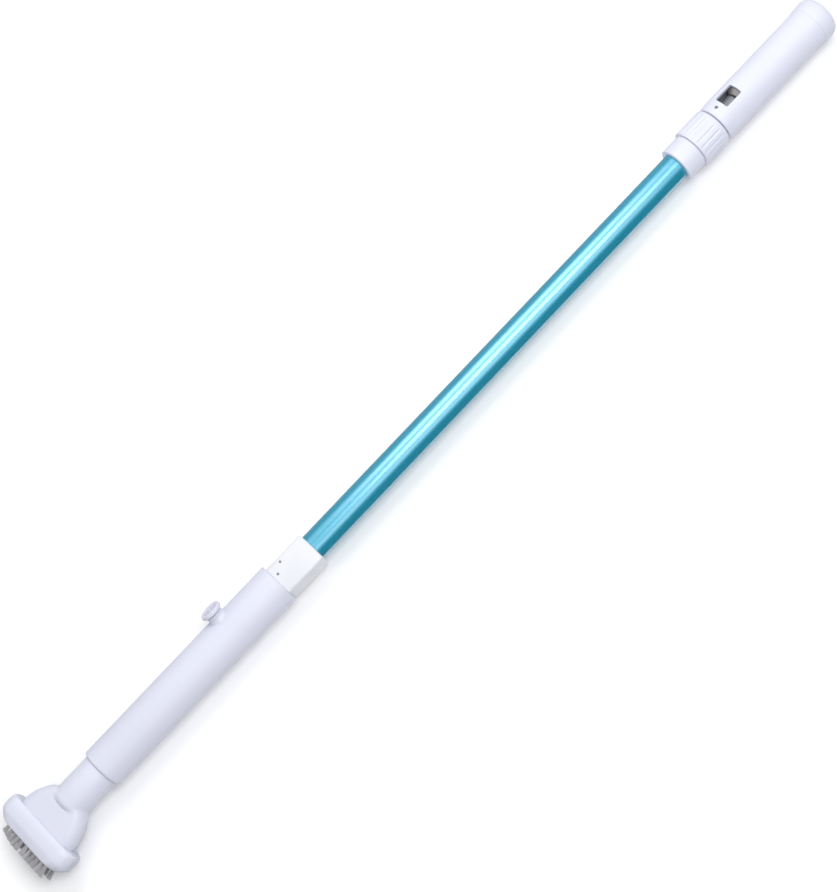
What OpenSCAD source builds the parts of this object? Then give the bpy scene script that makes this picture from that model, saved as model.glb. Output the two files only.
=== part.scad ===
// Hand-pump pool wall brush.
// A long wand lies along X with its brush toward -X and its handle toward +X.
// A pull on the handle draws water and dirt through the brush head into the canister.
// A push closes the foot valve and sends the water up the inner tube and out of the handle.

/* [Lengths along the wand] */
// Free length of the bristles in front of their frame
bristle_reach = 11; // [9:1:14]
// Length of the clip-on frame that holds the bristles
frame_length = 25; // [22:1:28]
// Length of the hood between the frame and the neck
hood_length = 37; // [35:1:40]
// Length of the neck between the hood and the canister
neck_length = 36.5; // [30:0.5:45]
// Length of the canister
canister_length = 245.5; // [220:0.5:280]
// Length of the valve block
block_length = 47; // [44:0.5:50]
// Length of the blue tube between the block and the collar
tube_visible = 522.5; // [500:0.5:700]
// Length of the collar at the end of the blue tube
collar_length = 22; // [20:1:28]
// Length of the lock nut
nut_length = 33.5; // [32:0.5:36]
// Gap left between the loosened lock nut and the handle
nut_gap = 0.6; // [0.4:0.1:2]
// Length of the grip, from the gap to the seam of its end cap
grip_length = 139.9; // [130:0.1:160]
// Length of the domed end cap outside the grip
cap_length = 21.7; // [18:0.1:24]

/* [Brush head] */
// Width of the bristle frame
frame_width = 90; // [86:1:94]
// Thickness of the bristle frame
frame_thickness = 35; // [33:1:37]
// Width of the hood at its mouth
hood_width = 70; // [68:1:72]
// Thickness of the flat hood
hood_thickness = 28; // [26:0.5:29]
// Wall of the hood
hood_wall = 2.6; // [2:0.1:3]
// Radius of one tuft of bristles
tuft_radius = 2.3; // [2:0.1:2.4]
// Distance between neighbouring tufts
tuft_pitch = 5.45; // [5.3:0.05:5.6]
// Distance of each row of tufts from the middle of the frame
tuft_row_offset = 9.6; // [9.3:0.1:9.8]
// Number of tufts in the first bank of a row
first_bank_tufts = 6; // [5:1:6]
// Number of tufts in the second bank of a row
second_bank_tufts = 7; // [6:1:7]

/* [Neck and canister] */
// Radius of the neck
neck_radius = 18.9; // [17.8:0.1:19.2]
// Radius of the passage through the neck
neck_bore_radius = 14.5; // [13.5:0.1:14.8]
// Length of the neck's spigot inside the canister
spigot_length = 24; // [22:1:26]
// Radius of the canister at its neck end
canister_low_radius = 22.3; // [21.8:0.1:22.4]
// Radius of the canister at its block end
canister_high_radius = 22.5; // [22.3:0.1:22.7]
// Wall of the canister
canister_wall = 2.4; // [2:0.1:2.6]

/* [Drain port] */
// Distance of the drain port from the block end of the canister
drain_from_block = 64.7; // [60:0.5:80]
// Angle of the drain port round the wand, from the top toward +Y
drain_angle = 52; // [45:1:60]
// Radius of the drain boss
drain_boss_radius = 8.9; // [8.5:0.1:9.2]
// Radius of the drain cap
drain_cap_radius = 11.6; // [11:0.1:12]
// Travel of the drain cap when it is unscrewed
drain_travel = 7.5; // [6:0.5:8]

/* [Valve block] */
// Side of the square block
block_side = 33.4; // [33:0.1:34]
// Sideways offset of the block from the wand's axis
block_offset = 2; // [1:0.1:2]
// Angle of the block round the wand, from the top toward +Y
block_angle = -4; // [-6:1:0]
// Radius of the block's long edges
block_edge_radius = 3; // [2:0.5:4]
// Radius of the opening in the valve seat
seat_port_radius = 8; // [7:0.1:8.2]

/* [Tubes] */
// Outer radius of the blue tube
outer_tube_radius = 14.3; // [14.2:0.05:14.4]
// Wall of the blue tube
outer_tube_wall = 1.2; // [1.1:0.05:1.3]
// Outer radius of the inner tube
inner_tube_radius = 11.1; // [11:0.05:11.2]
// Wall of the inner tube
inner_tube_wall = 1.1; // [1:0.05:1.2]
// Working stroke of the pump handle
stroke = 450; // [380:10:450]

/* [Twist lock and handle] */
// Radius of the collar
collar_radius = 19.4; // [19.2:0.1:19.8]
// Radius of the lock nut
nut_radius = 21.9; // [21.6:0.1:22.2]
// Number of ribs round the lock nut
nut_ribs = 20; // [16:1:24]
// Axial travel of the lock nut when it is loosened
nut_travel = 0.8; // [0.4:0.1:1.2]
// Radius of the grip
grip_radius = 21.8; // [21.6:0.1:22.2]
// Radius of the end cap
cap_radius = 23; // [22.8:0.1:23.4]
// Wall of the grip
grip_wall = 3; // [2.5:0.1:3.2]
// Angle of the water outlet round the handle, from the top toward +Y
outlet_angle = 12; // [8:1:20]
// Length of the water outlet along the handle
outlet_length = 21.5; // [20:0.5:26]
// Width of the water outlet
outlet_width = 15.8; // [14:0.1:17]

/* [Hidden] */

$fn = 96;
fit = 0.05;      // radial play of parts that slide or turn in each other
rod_play = 0.08; // radial play of the inner tube in its bush and collet
gap = 0.3;       // free space between separate parts
cut = 1;         // how far a cutter runs past the surface that it cuts

// Stations along the wand, measured from the bristle tips
frame_x = bristle_reach;
hood_x = frame_x + frame_length;
neck_x = hood_x + hood_length;
canister_x = neck_x + neck_length;
block_x = canister_x + canister_length;
tube_x = block_x + block_length;
collar_x = tube_x + tube_visible;
nut_x = collar_x + collar_length;
grip_x = nut_x + nut_length + nut_travel + nut_gap;
cap_x = grip_x + grip_length;
total_length = cap_x + cap_length;
axis_z = cap_radius;

// Brush frame and hood
frame_front_wall = 6;
frame_socket_x = frame_x + frame_front_wall;
frame_corner = 12;
hood_back_x = frame_socket_x + gap;
hood_half = hood_width / 2;
hood_half_thickness = hood_thickness / 2;
hood_curve_power = 2.1;
hood_sections = 9;
hood_curve_end = 0.94;
corner_steps = 8;
neck_base_x = neck_x - 14;
neck_full_x = neck_x - 7;
slot_half_width = 30;
slot_half_thickness = 6.5;
tuft_root_x = frame_socket_x;
bank_edge_y = 28;
bank_gap = 0.9;

// Neck joint
neck_seal_x = canister_x + 14;
neck_seal_width = 3;
seal_groove_depth = 1.8;
spigot_radius = 17;
socket_wall = 2;
ledge_length = 4;
basket_flange = 2;
ledge_x = canister_x + spigot_length + basket_flange + gap;
shoulder = 4;

// Filter basket
basket_radius = 16;
basket_wall = 1.4;
basket_length = 180;
basket_slots_round = 8;
basket_slot_rows = 6;
basket_slot_length = 22;
basket_slot_width = 8;
basket_slot_pitch = 28;
screen_thickness = 0.5;

// Drain port, as distances from the wand's axis
drain_x = block_x - drain_from_block;
drain_boss_top = 27.8;
drain_gasket_thickness = 1.2;
drain_flange_thickness = 3.8;
drain_plug_radius = 6.4;
drain_plug_tip = drain_boss_top - drain_travel + 0.7;
drain_slot_depth = 1.6;

// Valve block and foot valve
plug_length = 15;
plug_radius = canister_high_radius - canister_wall - 0.25;
block_seal_x = block_x - 8;
block_seal_width = 3;
chamber_radius = 13.3;
seat_x = block_x + 2;
seat_thickness = 4;
flap_x = seat_x + seat_thickness + fit;
flap_thickness = 1.6;
flap_radius = 9.6;
knuckle_radius = 1.6;
flap_pin_radius = 0.8;
flap_pin_x = flap_x + knuckle_radius + 0.15;
flap_pin_height = 10.6;
flap_pin_length = 11;
ear_inner = 3.5;
ear_outer = 5.5;
ear_low = 9.3;
ear_high = 11.9;
ear_reach = flap_pin_x + 1.3 - seat_x - seat_thickness;
flap_top = 7.9;
plate_radius = 6;
plate_thickness = 2;
tube_seat_x = seat_x + 16;
tube_seal_x = tube_x - 12;
tube_seal_width = 2.4;
block_screw_places = [[5.5, 2.7], [15.4, 9.5]];
block_screw_radius = 1.35;
block_screw_shank = 0.9;
block_screw_depth = 3.4;

// Twist lock
outer_bore = outer_tube_radius - outer_tube_wall;
tube_end_x = nut_x + 4;
collar_spigot_radius = 17.2;
collar_spigot_x = nut_x + 26;
cone_x = nut_x + 8;
cone_low = 12.9;
cone_high = 15.4;
collet_x = cone_x + 2;
collet_length = 20;
collet_low = 12.6;
collet_high = 14.9;
collet_slots = 6;
collet_slot_width = 1.6;
washer_x = collet_x + collet_length + fit;
washer_thickness = 1;
nut_wall_x = washer_x + washer_thickness + fit;
bush_flange = 1.5;

// Pump rod
piston_x = tube_x - 18.5;
piston_length = 16;
piston_radius = outer_bore - 0.3;
piston_port = 6;
valve_chamber_x = piston_x + 4;
valve_chamber_radius = 9;
valve_lift = 3.5;
disc_radius = 8.2;
disc_thickness = 1.5;
disc_notches = 4;
hub_x = valve_chamber_x + disc_thickness + valve_lift + 2 * fit;
hub_thread_radius = 10.4;
hub_thread_length = 5;
hub_length = 20;
hub_bore = 7;
inner_bore = inner_tube_radius - inner_tube_wall;
rod_x = piston_x + piston_length + gap;
bush_x = rod_x + stroke + cut;   // the bush is the stop at the end of the stroke
bush_length = tube_end_x - bush_x;
piston_seal_x = piston_x + 11.2;
piston_seal_width = 2.6;

// Handle
grip_bore = grip_radius - grip_wall;
grip_hub_length = 12;
outlet_x = grip_x + 14.8;
rod_end_x = outlet_x + 16;
outlet_plug_x = outlet_x + 18.2;
outlet_plug_length = 12;
handle_screw_x = grip_x + 8.1;
handle_screw_radius = 1.9;
handle_screw_shank = 1.1;
grip_nose_length = 11;
grip_flare_length = 9;
seam_radius = cap_radius - 0.5;
cap_plug_length = 12;
cap_round = 9;
cap_dome = 2;
outer_tube_start = tube_seat_x + gap;

// Draws its children from a station along the wand, with their +Z toward the handle.
module on_axis(x) {
    translate([x - total_length / 2, 0, axis_z])
        rotate([0, 90, 0])
            children();
}

// Draws its children at a station with their +Z away from the wand's axis.
module around(x, angle) {
    translate([x - total_length / 2, 0, axis_z])
        rotate([-angle, 0, 0])
            children();
}

// A solid of revolution about the wand's axis, from [station, radius] points.
module turned(points) {
    on_axis(0)
        rotate_extrude()
            polygon([for (p = points) [p[1], p[0]]]);
}

// A straight rod on the wand's axis.
module rod(x, length, radius) {
    on_axis(x)
        cylinder(h = length, r = radius);
}

// A sleeve on the wand's axis.
module sleeve(x, length, outer, inner) {
    on_axis(x)
        difference() {
            cylinder(h = length, r = outer);
            translate([0, 0, -cut])
                cylinder(h = length + 2 * cut, r = inner);
        }
}

// Corner points of a rounded rectangle across the wand at station x, counted round from +Y.
function ring_points(x, half_width, half_thickness, corner) =
    [for (quarter = [0 : 3])
        for (i = [0 : corner_steps])
            let (angle = 90 * (quarter + i / corner_steps),
                 side_y = quarter == 0 || quarter == 3 ? 1 : -1,
                 side_z = quarter < 2 ? 1 : -1)
                [x - total_length / 2,
                 side_y * (half_width - corner) + corner * cos(angle),
                 axis_z + side_z * (half_thickness - corner) + corner * sin(angle)]];

// A smooth solid through sections given as [station, half width, half thickness, corner radius].
module loft(sections) {
    count = len(sections);
    round = 4 * (corner_steps + 1);
    first = sections[0];
    last = sections[count - 1];
    rings = [for (s = sections) for (p = ring_points(s[0], s[1], s[2], s[3])) p];
    centres = [[first[0] - total_length / 2, 0, axis_z], [last[0] - total_length / 2, 0, axis_z]];
    sides = [for (j = [0 : count - 2])
        for (i = [0 : round - 1])
            let (a = j * round + i, b = j * round + (i + 1) % round)
                for (f = [[a, a + round, b + round], [a, b + round, b]]) f];
    front = [for (i = [0 : round - 1]) [count * round, i, (i + 1) % round]];
    back = [for (i = [0 : round - 1])
        [count * round + 1, (count - 1) * round + (i + 1) % round, (count - 1) * round + i]];
    polyhedron(points = concat(rings, centres), faces = concat(sides, front, back), convexity = 4);
}

// A straight slot or plug along the wand with rounded corners.
module rounded_bar(x, length, half_width, half_thickness, corner) {
    on_axis(x)
        linear_extrude(length)
            union() {
                square([2 * half_thickness, 2 * (half_width - corner)], center = true);
                square([2 * (half_thickness - corner), 2 * half_width], center = true);
                for (side_y = [-1, 1])
                    for (side_z = [-1, 1])
                        translate([side_z * (half_thickness - corner), side_y * (half_width - corner)])
                            circle(r = corner, $fn = 48);
            }
}

// Middles of the tufts across the frame, first bank then second bank.
function tuft_places() = concat(
    [for (i = [0 : first_bank_tufts - 1]) bank_edge_y - i * tuft_pitch],
    [for (i = [0 : second_bank_tufts - 1]) bank_edge_y - (first_bank_tufts + i) * tuft_pitch - bank_gap]);

module tuft_row(side, radius, x0, x1) {
    for (y = tuft_places())
        on_axis(x0)
            translate([-side * tuft_row_offset, y, 0])
                cylinder(h = x1 - x0, r = radius, $fn = 32);
}

module brush_frame() {
    half_width = frame_width / 2;
    half_thickness = frame_thickness / 2;
    color("white")
        difference() {
            loft([[frame_x, half_width - 11, half_thickness - 5, frame_corner],
                  [frame_x + 1.2, half_width - 8, half_thickness - 4.2, frame_corner],
                  [frame_x + 3.5, half_width - 4.6, half_thickness - 3, frame_corner],
                  [frame_x + 6, half_width - 2.4, half_thickness - 1.6, frame_corner],
                  [frame_x + 8.5, half_width - 1, half_thickness - 0.5, frame_corner],
                  [frame_x + 13, half_width, half_thickness, frame_corner],
                  [hood_x - 9, half_width, half_thickness, frame_corner],
                  [hood_x - 5, half_width, half_thickness - 0.5, frame_corner],
                  [hood_x - 2, half_width - 0.3, half_thickness - 1.4, frame_corner],
                  [hood_x, half_width - 1.2, half_thickness - 2.3, frame_corner]]);
            rounded_bar(frame_x - cut, frame_length, slot_half_width,
                        slot_half_thickness, slot_half_thickness - 0.5);
            rounded_bar(frame_socket_x, frame_length, hood_half + gap / 2,
                        hood_half_thickness + gap / 2, hood_half_thickness - 1);
            tuft_row(1, tuft_radius + fit, frame_x - cut, tuft_root_x + cut);
            tuft_row(-1, tuft_radius + fit, frame_x - cut, tuft_root_x + cut);
        }
}

module front_tufts() {
    color("darkgray")
        tuft_row(1, tuft_radius, 0, tuft_root_x);
}

module back_tufts() {
    color("darkgray")
        tuft_row(-1, tuft_radius, 0, tuft_root_x);
}

// Half width of the hood at a share of its length from the frame to the neck.
function hood_half_width(share) =
    neck_radius + (hood_half - neck_radius) * (1 - pow(share, hood_curve_power));

// Solid inside the hood's walls, starting at a station, or its whole outside when inset is 0.
module hood_volume(start, inset) {
    corner = hood_half_thickness - 1 - inset;
    loft(concat(
        [[start, hood_half - inset, hood_half_thickness - inset, corner]],
        [for (i = [0 : hood_sections])
            let (share = hood_curve_end * i / hood_sections)
                [hood_x + share * hood_length, hood_half_width(share) - inset,
                 hood_half_thickness - inset, corner]]));
}

module nozzle_hood() {
    arc_steps = 8;
    base_arc = [for (i = [0 : arc_steps])
        let (a = 90 * i / arc_steps)
            [neck_full_x - (neck_full_x - neck_base_x) * cos(a),
             hood_half_thickness - 1 + (neck_radius - hood_half_thickness + 1) * sin(a)]];
    color("white")
        difference() {
            union() {
                hood_volume(hood_back_x, 0);
                turned(concat([[neck_base_x, 0]], base_arc, [
                    [canister_x - gap, neck_radius],
                    [canister_x - gap, spigot_radius],
                    [neck_seal_x, spigot_radius],
                    [neck_seal_x, spigot_radius - seal_groove_depth],
                    [neck_seal_x + neck_seal_width, spigot_radius - seal_groove_depth],
                    [neck_seal_x + neck_seal_width, spigot_radius],
                    [canister_x + spigot_length, spigot_radius],
                    [canister_x + spigot_length, 0]]));
            }
            hood_volume(hood_back_x - cut, hood_wall);
            turned([[neck_base_x - cut, 0],
                    [neck_base_x - cut, hood_half_thickness - hood_wall - 0.1],
                    [neck_full_x, neck_bore_radius],
                    [canister_x + spigot_length + cut, neck_bore_radius],
                    [canister_x + spigot_length + cut, 0]]);
        }
}

module neck_seal() {
    color("dimgray")
        sleeve(neck_seal_x + fit, neck_seal_width - 2 * fit, spigot_radius + fit,
               spigot_radius - seal_groove_depth + fit);
}

module drain_boss() {
    around(drain_x, drain_angle)
        cylinder(h = drain_boss_top, r = drain_boss_radius);
}

module canister() {
    inner_start = canister_x + shoulder;
    color("white")
        difference() {
            union() {
                difference() {
                    union() {
                        turned([[canister_x, 0],
                                [canister_x, canister_low_radius - shoulder / 2],
                                [canister_x + shoulder / 4, canister_low_radius - shoulder / 5],
                                [canister_x + shoulder, canister_low_radius],
                                [block_x, canister_high_radius],
                                [block_x, 0]]);
                        drain_boss();
                    }
                    turned([[inner_start, 0],
                            [inner_start, canister_low_radius - canister_wall],
                            [block_x + cut, canister_high_radius - canister_wall],
                            [block_x + cut, 0]]);
                }
                sleeve(canister_x, ledge_x + ledge_length - canister_x, spigot_radius + 2 * fit + socket_wall,
                       spigot_radius - 3);
            }
            rod(canister_x - cut, ledge_x - canister_x + cut, spigot_radius + 2 * fit);
            rod(canister_x, ledge_x + ledge_length - canister_x + cut, basket_radius + 2 * fit);
            around(drain_x, drain_angle)
                cylinder(h = drain_boss_top + cut, r = drain_plug_radius + 0.1);
        }
}

module filter_basket() {
    flange_x = ledge_x - basket_flange;
    color("silver")
        difference() {
            union() {
                sleeve(flange_x, basket_flange, spigot_radius - fit, basket_radius - basket_wall);
                sleeve(flange_x, basket_length, basket_radius, basket_radius - basket_wall);
                rod(flange_x + basket_length, basket_wall, basket_radius);
            }
            for (row = [0 : basket_slot_rows - 1])
                for (i = [0 : basket_slots_round - 1])
                    around(flange_x + 8 + row * basket_slot_pitch, i * 360 / basket_slots_round)
                        translate([0, -basket_slot_width / 2, 0])
                            cube([basket_slot_length, basket_slot_width, basket_radius + cut]);
        }
}

module filter_screen() {
    screen_outer = basket_radius - basket_wall - fit;
    color("gray")
        sleeve(ledge_x + 1, basket_length - 6, screen_outer, screen_outer - screen_thickness);
}

module drain_gasket() {
    color("dimgray")
        around(drain_x, drain_angle)
            translate([0, 0, drain_boss_top + fit])
                difference() {
                    cylinder(h = drain_gasket_thickness, r = drain_boss_radius);
                    translate([0, 0, -cut])
                        cylinder(h = drain_gasket_thickness + 2 * cut, r = drain_plug_radius + 0.1);
                }
}

module drain_cap() {
    flange_z = drain_boss_top + drain_gasket_thickness + 2 * fit;
    cap_top = flange_z + drain_flange_thickness;
    color("white")
        around(drain_x, drain_angle)
            difference() {
                union() {
                    translate([0, 0, drain_plug_tip])
                        cylinder(h = flange_z - drain_plug_tip + cut, r = drain_plug_radius);
                    translate([0, 0, flange_z])
                        cylinder(h = drain_flange_thickness - 1, r = drain_cap_radius);
                    translate([0, 0, cap_top - 1])
                        cylinder(h = 1, r1 = drain_cap_radius, r2 = drain_cap_radius - 1);
                }
                translate([0, 0, cap_top - 1.2])
                    cylinder(h = 2 * cut, r = drain_cap_radius - 2.2);
                for (side = [-1, 1])
                    translate([side * 4.3 - 3.3, -1.1, cap_top - 1.2 - drain_slot_depth])
                        cube([6.6, 2.2, 2 * cut + drain_slot_depth]);
            }
}

// Cross-section of the square block with rounded long edges.
module block_outline() {
    flat = block_side / 2 - block_edge_radius;
    union() {
        square([block_side, 2 * flat], center = true);
        square([2 * flat, block_side], center = true);
        for (sx = [-1, 1])
            for (sy = [-1, 1])
                translate([sx * flat, sy * flat])
                    circle(r = block_edge_radius);
    }
}

module block_screw_cut(place, radius, depth) {
    around(block_x, block_angle)
        translate([place[0], place[1], block_side / 2 - depth])
            cylinder(h = depth + cut, r = radius, $fn = 32);
}

module valve_block() {
    color("ghostwhite")
        difference() {
            union() {
                around(block_x, block_angle)
                    translate([0, -block_offset, 0])
                        rotate([0, 90, 0])
                            linear_extrude(block_length)
                                block_outline();
                rod(block_x - plug_length, plug_length + cut, plug_radius);
            }
            turned([[block_seal_x, plug_radius - seal_groove_depth],
                    [block_seal_x, plug_radius + cut],
                    [block_seal_x + block_seal_width, plug_radius + cut],
                    [block_seal_x + block_seal_width, plug_radius - seal_groove_depth]]);
            rod(block_x - plug_length - cut, total_length / 8, seat_port_radius + 2);
            rod(seat_x, tube_x - seat_x + cut, chamber_radius);
            rod(tube_seat_x, tube_x - tube_seat_x + cut, outer_tube_radius + fit);
            rod(tube_seal_x, tube_seal_width, outer_tube_radius + 1.2);
            for (place = block_screw_places) {
                block_screw_cut(place, block_screw_shank + fit, block_screw_depth);
                block_screw_cut(place, block_screw_radius + fit, 1);
            }
        }
}

module block_seal() {
    bore_there = canister_high_radius - canister_wall
        - (canister_high_radius - canister_low_radius) * 8 / canister_length;
    color("dimgray")
        sleeve(block_seal_x + fit, block_seal_width - 2 * fit, bore_there - fit,
               plug_radius - seal_groove_depth + fit);
}

module valve_seat() {
    color("lightgray")
        difference() {
            union() {
                sleeve(seat_x, seat_thickness, chamber_radius - fit, seat_port_radius);
                for (ear_y = [ear_inner, -ear_outer])
                    around(seat_x + seat_thickness - cut, 0)
                        translate([0, ear_y, ear_low])
                            cube([cut + ear_reach, ear_outer - ear_inner, ear_high - ear_low]);
            }
            around(flap_pin_x, 0)
                translate([0, flap_pin_length, flap_pin_height])
                    rotate([90, 0, 0])
                        cylinder(h = 2 * flap_pin_length, r = flap_pin_radius + 0.02, $fn = 32);
        }
}

module flap_pin() {
    color("silver")
        around(flap_pin_x, 0)
            translate([0, flap_pin_length / 2, flap_pin_height])
                rotate([90, 0, 0])
                    cylinder(h = flap_pin_length, r = flap_pin_radius, $fn = 32);
}

module valve_flap() {
    knuckle_half = ear_inner - gap;
    color("black")
        difference() {
            union() {
                difference() {
                    rod(flap_x, flap_thickness, flap_radius);
                    around(flap_x, 0)
                        translate([-cut, -flap_radius, flap_top])
                            cube([flap_thickness + 2 * cut, 2 * flap_radius, flap_radius]);
                }
                around(flap_x, 0)
                    translate([0, -knuckle_half, flap_top - 1])
                        cube([flap_thickness, 2 * knuckle_half, flap_pin_height - flap_top + 1]);
                around(flap_pin_x, 0)
                    translate([0, knuckle_half, flap_pin_height])
                        rotate([90, 0, 0])
                            cylinder(h = 2 * knuckle_half, r = knuckle_radius, $fn = 48);
            }
            around(flap_pin_x, 0)
                translate([0, flap_pin_length, flap_pin_height])
                    rotate([90, 0, 0])
                        cylinder(h = 2 * flap_pin_length, r = flap_pin_radius + fit, $fn = 32);
            rod(flap_x - cut, flap_thickness + 2 * cut, 1.5);
        }
}

module flap_plate() {
    color("silver")
        union() {
            rod(flap_x + flap_thickness, plate_thickness, plate_radius);
            rod(flap_x + 0.2, flap_thickness, 1.5 - fit);
        }
}

module block_screws() {
    color("gray")
        for (place = block_screw_places)
            around(block_x, block_angle)
                translate([place[0], place[1], block_side / 2]) {
                    translate([0, 0, -block_screw_depth + fit])
                        cylinder(h = block_screw_depth - 1, r = block_screw_shank, $fn = 32);
                    translate([0, 0, -0.95])
                        difference() {
                            cylinder(h = 0.8, r = block_screw_radius, $fn = 32);
                            translate([-2, -0.2, 0.4])
                                cube([4, 0.4, cut]);
                        }
                }
}

module tube_seal() {
    color("dimgray")
        sleeve(tube_seal_x + fit, tube_seal_width - 2 * fit, outer_tube_radius + 1.2 - fit,
               outer_tube_radius + fit);
}

module outer_tube() {
    color("deepskyblue")
        sleeve(outer_tube_start, tube_end_x - outer_tube_start, outer_tube_radius, outer_bore);
}

module lock_collar() {
    edge = 1.2;
    color("white")
        difference() {
            turned([[collar_x, 0],
                    [collar_x, collar_radius - edge],
                    [collar_x + edge, collar_radius],
                    [nut_x - edge / 2, collar_radius],
                    [nut_x, collar_radius - edge / 2],
                    [nut_x, collar_spigot_radius],
                    [collar_spigot_x, collar_spigot_radius],
                    [collar_spigot_x, 0]]);
            rod(collar_x - cut, tube_end_x + bush_flange - collar_x + cut, outer_tube_radius + fit);
            rod(nut_x, collar_spigot_x - nut_x, inner_tube_radius + 1);
            turned([[cone_x, 0],
                    [cone_x, cone_low],
                    [collar_spigot_x + cut, cone_high],
                    [collar_spigot_x + cut, 0]]);
        }
}

module guide_bush() {
    color("ivory")
        union() {
            sleeve(bush_x, bush_length, outer_bore - fit, inner_tube_radius + rod_play);
            sleeve(tube_end_x, bush_flange - fit, outer_tube_radius - fit, inner_tube_radius + rod_play);
        }
}

module collet() {
    color("ivory")
        difference() {
            turned([[collet_x, inner_tube_radius + rod_play],
                    [collet_x, collet_low],
                    [collet_x + collet_length, collet_high],
                    [collet_x + collet_length, inner_tube_radius + rod_play]]);
            for (i = [0 : collet_slots - 1])
                around(collet_x + 5, i * 360 / collet_slots)
                    translate([0, -collet_slot_width / 2, 0])
                        cube([collet_length, collet_slot_width, collet_high + cut]);
        }
}

module nut_washer() {
    color("silver")
        sleeve(washer_x, washer_thickness, collar_spigot_radius - 1, inner_tube_radius + gap);
}

module lock_nut() {
    groove_radius = 1.5;
    edge = 2;
    color("white")
        difference() {
            turned([[nut_x + gap, collar_spigot_radius + 0.15],
                    [nut_x + gap, nut_radius - edge / 2],
                    [nut_x + gap + edge / 2, nut_radius],
                    [nut_x + nut_length - edge, nut_radius],
                    [nut_x + nut_length, nut_radius - edge],
                    [nut_x + nut_length, inner_tube_radius + gap],
                    [nut_wall_x, inner_tube_radius + gap],
                    [nut_wall_x, collar_spigot_radius + 0.15]]);
            for (i = [0 : nut_ribs - 1])
                around(nut_x + 2.5, (i + 0.5) * 360 / nut_ribs)
                    translate([0, 0, nut_radius + groove_radius * 0.5])
                        rotate([0, 90, 0])
                            cylinder(h = nut_length - 6, r = groove_radius, $fn = 32);
        }
}

module inner_tube() {
    color("lightslategray")
        difference() {
            sleeve(rod_x, rod_end_x - rod_x, inner_tube_radius, inner_bore);
            for (side = [0, 180])
                around(handle_screw_x, outlet_angle + side)
                    translate([0, 0, inner_bore - 2])
                        cylinder(h = 5, r = handle_screw_shank + fit, $fn = 32);
        }
}

module piston() {
    color("ivory")
        difference() {
            rod(piston_x, piston_length, piston_radius);
            rod(piston_x - cut, piston_length, piston_port);
            rod(valve_chamber_x, hub_x - valve_chamber_x + cut, valve_chamber_radius);
            rod(hub_x, piston_length, hub_thread_radius + fit);
            turned([[piston_seal_x, piston_radius - seal_groove_depth / 2],
                    [piston_seal_x, piston_radius + cut],
                    [piston_seal_x + piston_seal_width, piston_radius + cut],
                    [piston_seal_x + piston_seal_width, piston_radius - seal_groove_depth / 2]]);
        }
}

module piston_hub() {
    color("ivory")
        difference() {
            union() {
                rod(hub_x + fit, hub_thread_length, hub_thread_radius);
                rod(hub_x + fit, hub_length + hub_thread_length, inner_bore - fit);
            }
            rod(hub_x - cut, hub_length + hub_thread_length + 3 * cut, hub_bore);
        }
}

module piston_seal() {
    color("black")
        sleeve(piston_seal_x + fit, piston_seal_width - 2 * fit, outer_bore - fit,
               piston_radius - seal_groove_depth / 2 + fit);
}

module valve_disc() {
    color("black")
        difference() {
            rod(valve_chamber_x + fit, disc_thickness, disc_radius);
            for (i = [0 : disc_notches - 1])
                around(valve_chamber_x, (i + 0.5) * 360 / disc_notches)
                    translate([-cut, 0, disc_radius])
                        rotate([0, 90, 0])
                            cylinder(h = disc_thickness + 2 * cut, r = 1.7, $fn = 32);
        }
}

module handle_grip() {
    nose_steps = 8;
    nose_edge = 1.2;
    nose_drop = 1.1;
    nose_arc = [for (i = [1 : nose_steps])
        let (share = i / nose_steps)
            [grip_x + nose_edge + (grip_nose_length - nose_edge) * share,
             grip_radius - nose_drop * pow(1 - share, 2)]];
    color("white")
        difference() {
            turned(concat([[grip_x, 0],
                           [grip_x, grip_radius - nose_drop - nose_edge],
                           [grip_x + nose_edge, grip_radius - nose_drop]],
                          nose_arc,
                          [[cap_x - grip_flare_length, grip_radius],
                           [cap_x, seam_radius],
                           [cap_x, 0]]));
            rod(grip_x - cut, grip_length, inner_tube_radius + fit);
            rod(grip_x + grip_hub_length, grip_length, grip_bore);
            around(outlet_x, outlet_angle)
                translate([0, -outlet_width / 2, 0])
                    cube([outlet_length, outlet_width, grip_radius + cut]);
            for (side = [0, 180])
                around(handle_screw_x, outlet_angle + side) {
                    translate([0, 0, inner_tube_radius - 1])
                        cylinder(h = grip_radius, r = handle_screw_shank + fit, $fn = 32);
                    translate([0, 0, grip_radius - 1.4])
                        cylinder(h = 2 * cut, r = handle_screw_radius + fit, $fn = 32);
                }
        }
}

module handle_screws() {
    color("gray")
        for (side = [0, 180])
            around(handle_screw_x, outlet_angle + side)
                difference() {
                    union() {
                        translate([0, 0, grip_radius - 1.35])
                            cylinder(h = 1, r = handle_screw_radius, $fn = 32);
                        translate([0, 0, inner_bore - 1])
                            cylinder(h = grip_radius - inner_bore - 0.35, r = handle_screw_shank, $fn = 32);
                    }
                    translate([-3, -0.3, grip_radius - 0.9])
                        cube([6, 0.6, cut]);
                }
}

module outlet_plug() {
    color("gainsboro")
        difference() {
            turned([[outlet_plug_x, 0],
                    [outlet_plug_x, inner_tube_radius],
                    [outlet_plug_x + 6, grip_bore - fit],
                    [outlet_plug_x + outlet_plug_length, grip_bore - fit],
                    [outlet_plug_x + outlet_plug_length, 0]]);
            rod(outlet_plug_x + 8, outlet_plug_length, grip_bore - grip_wall);
        }
}

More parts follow.
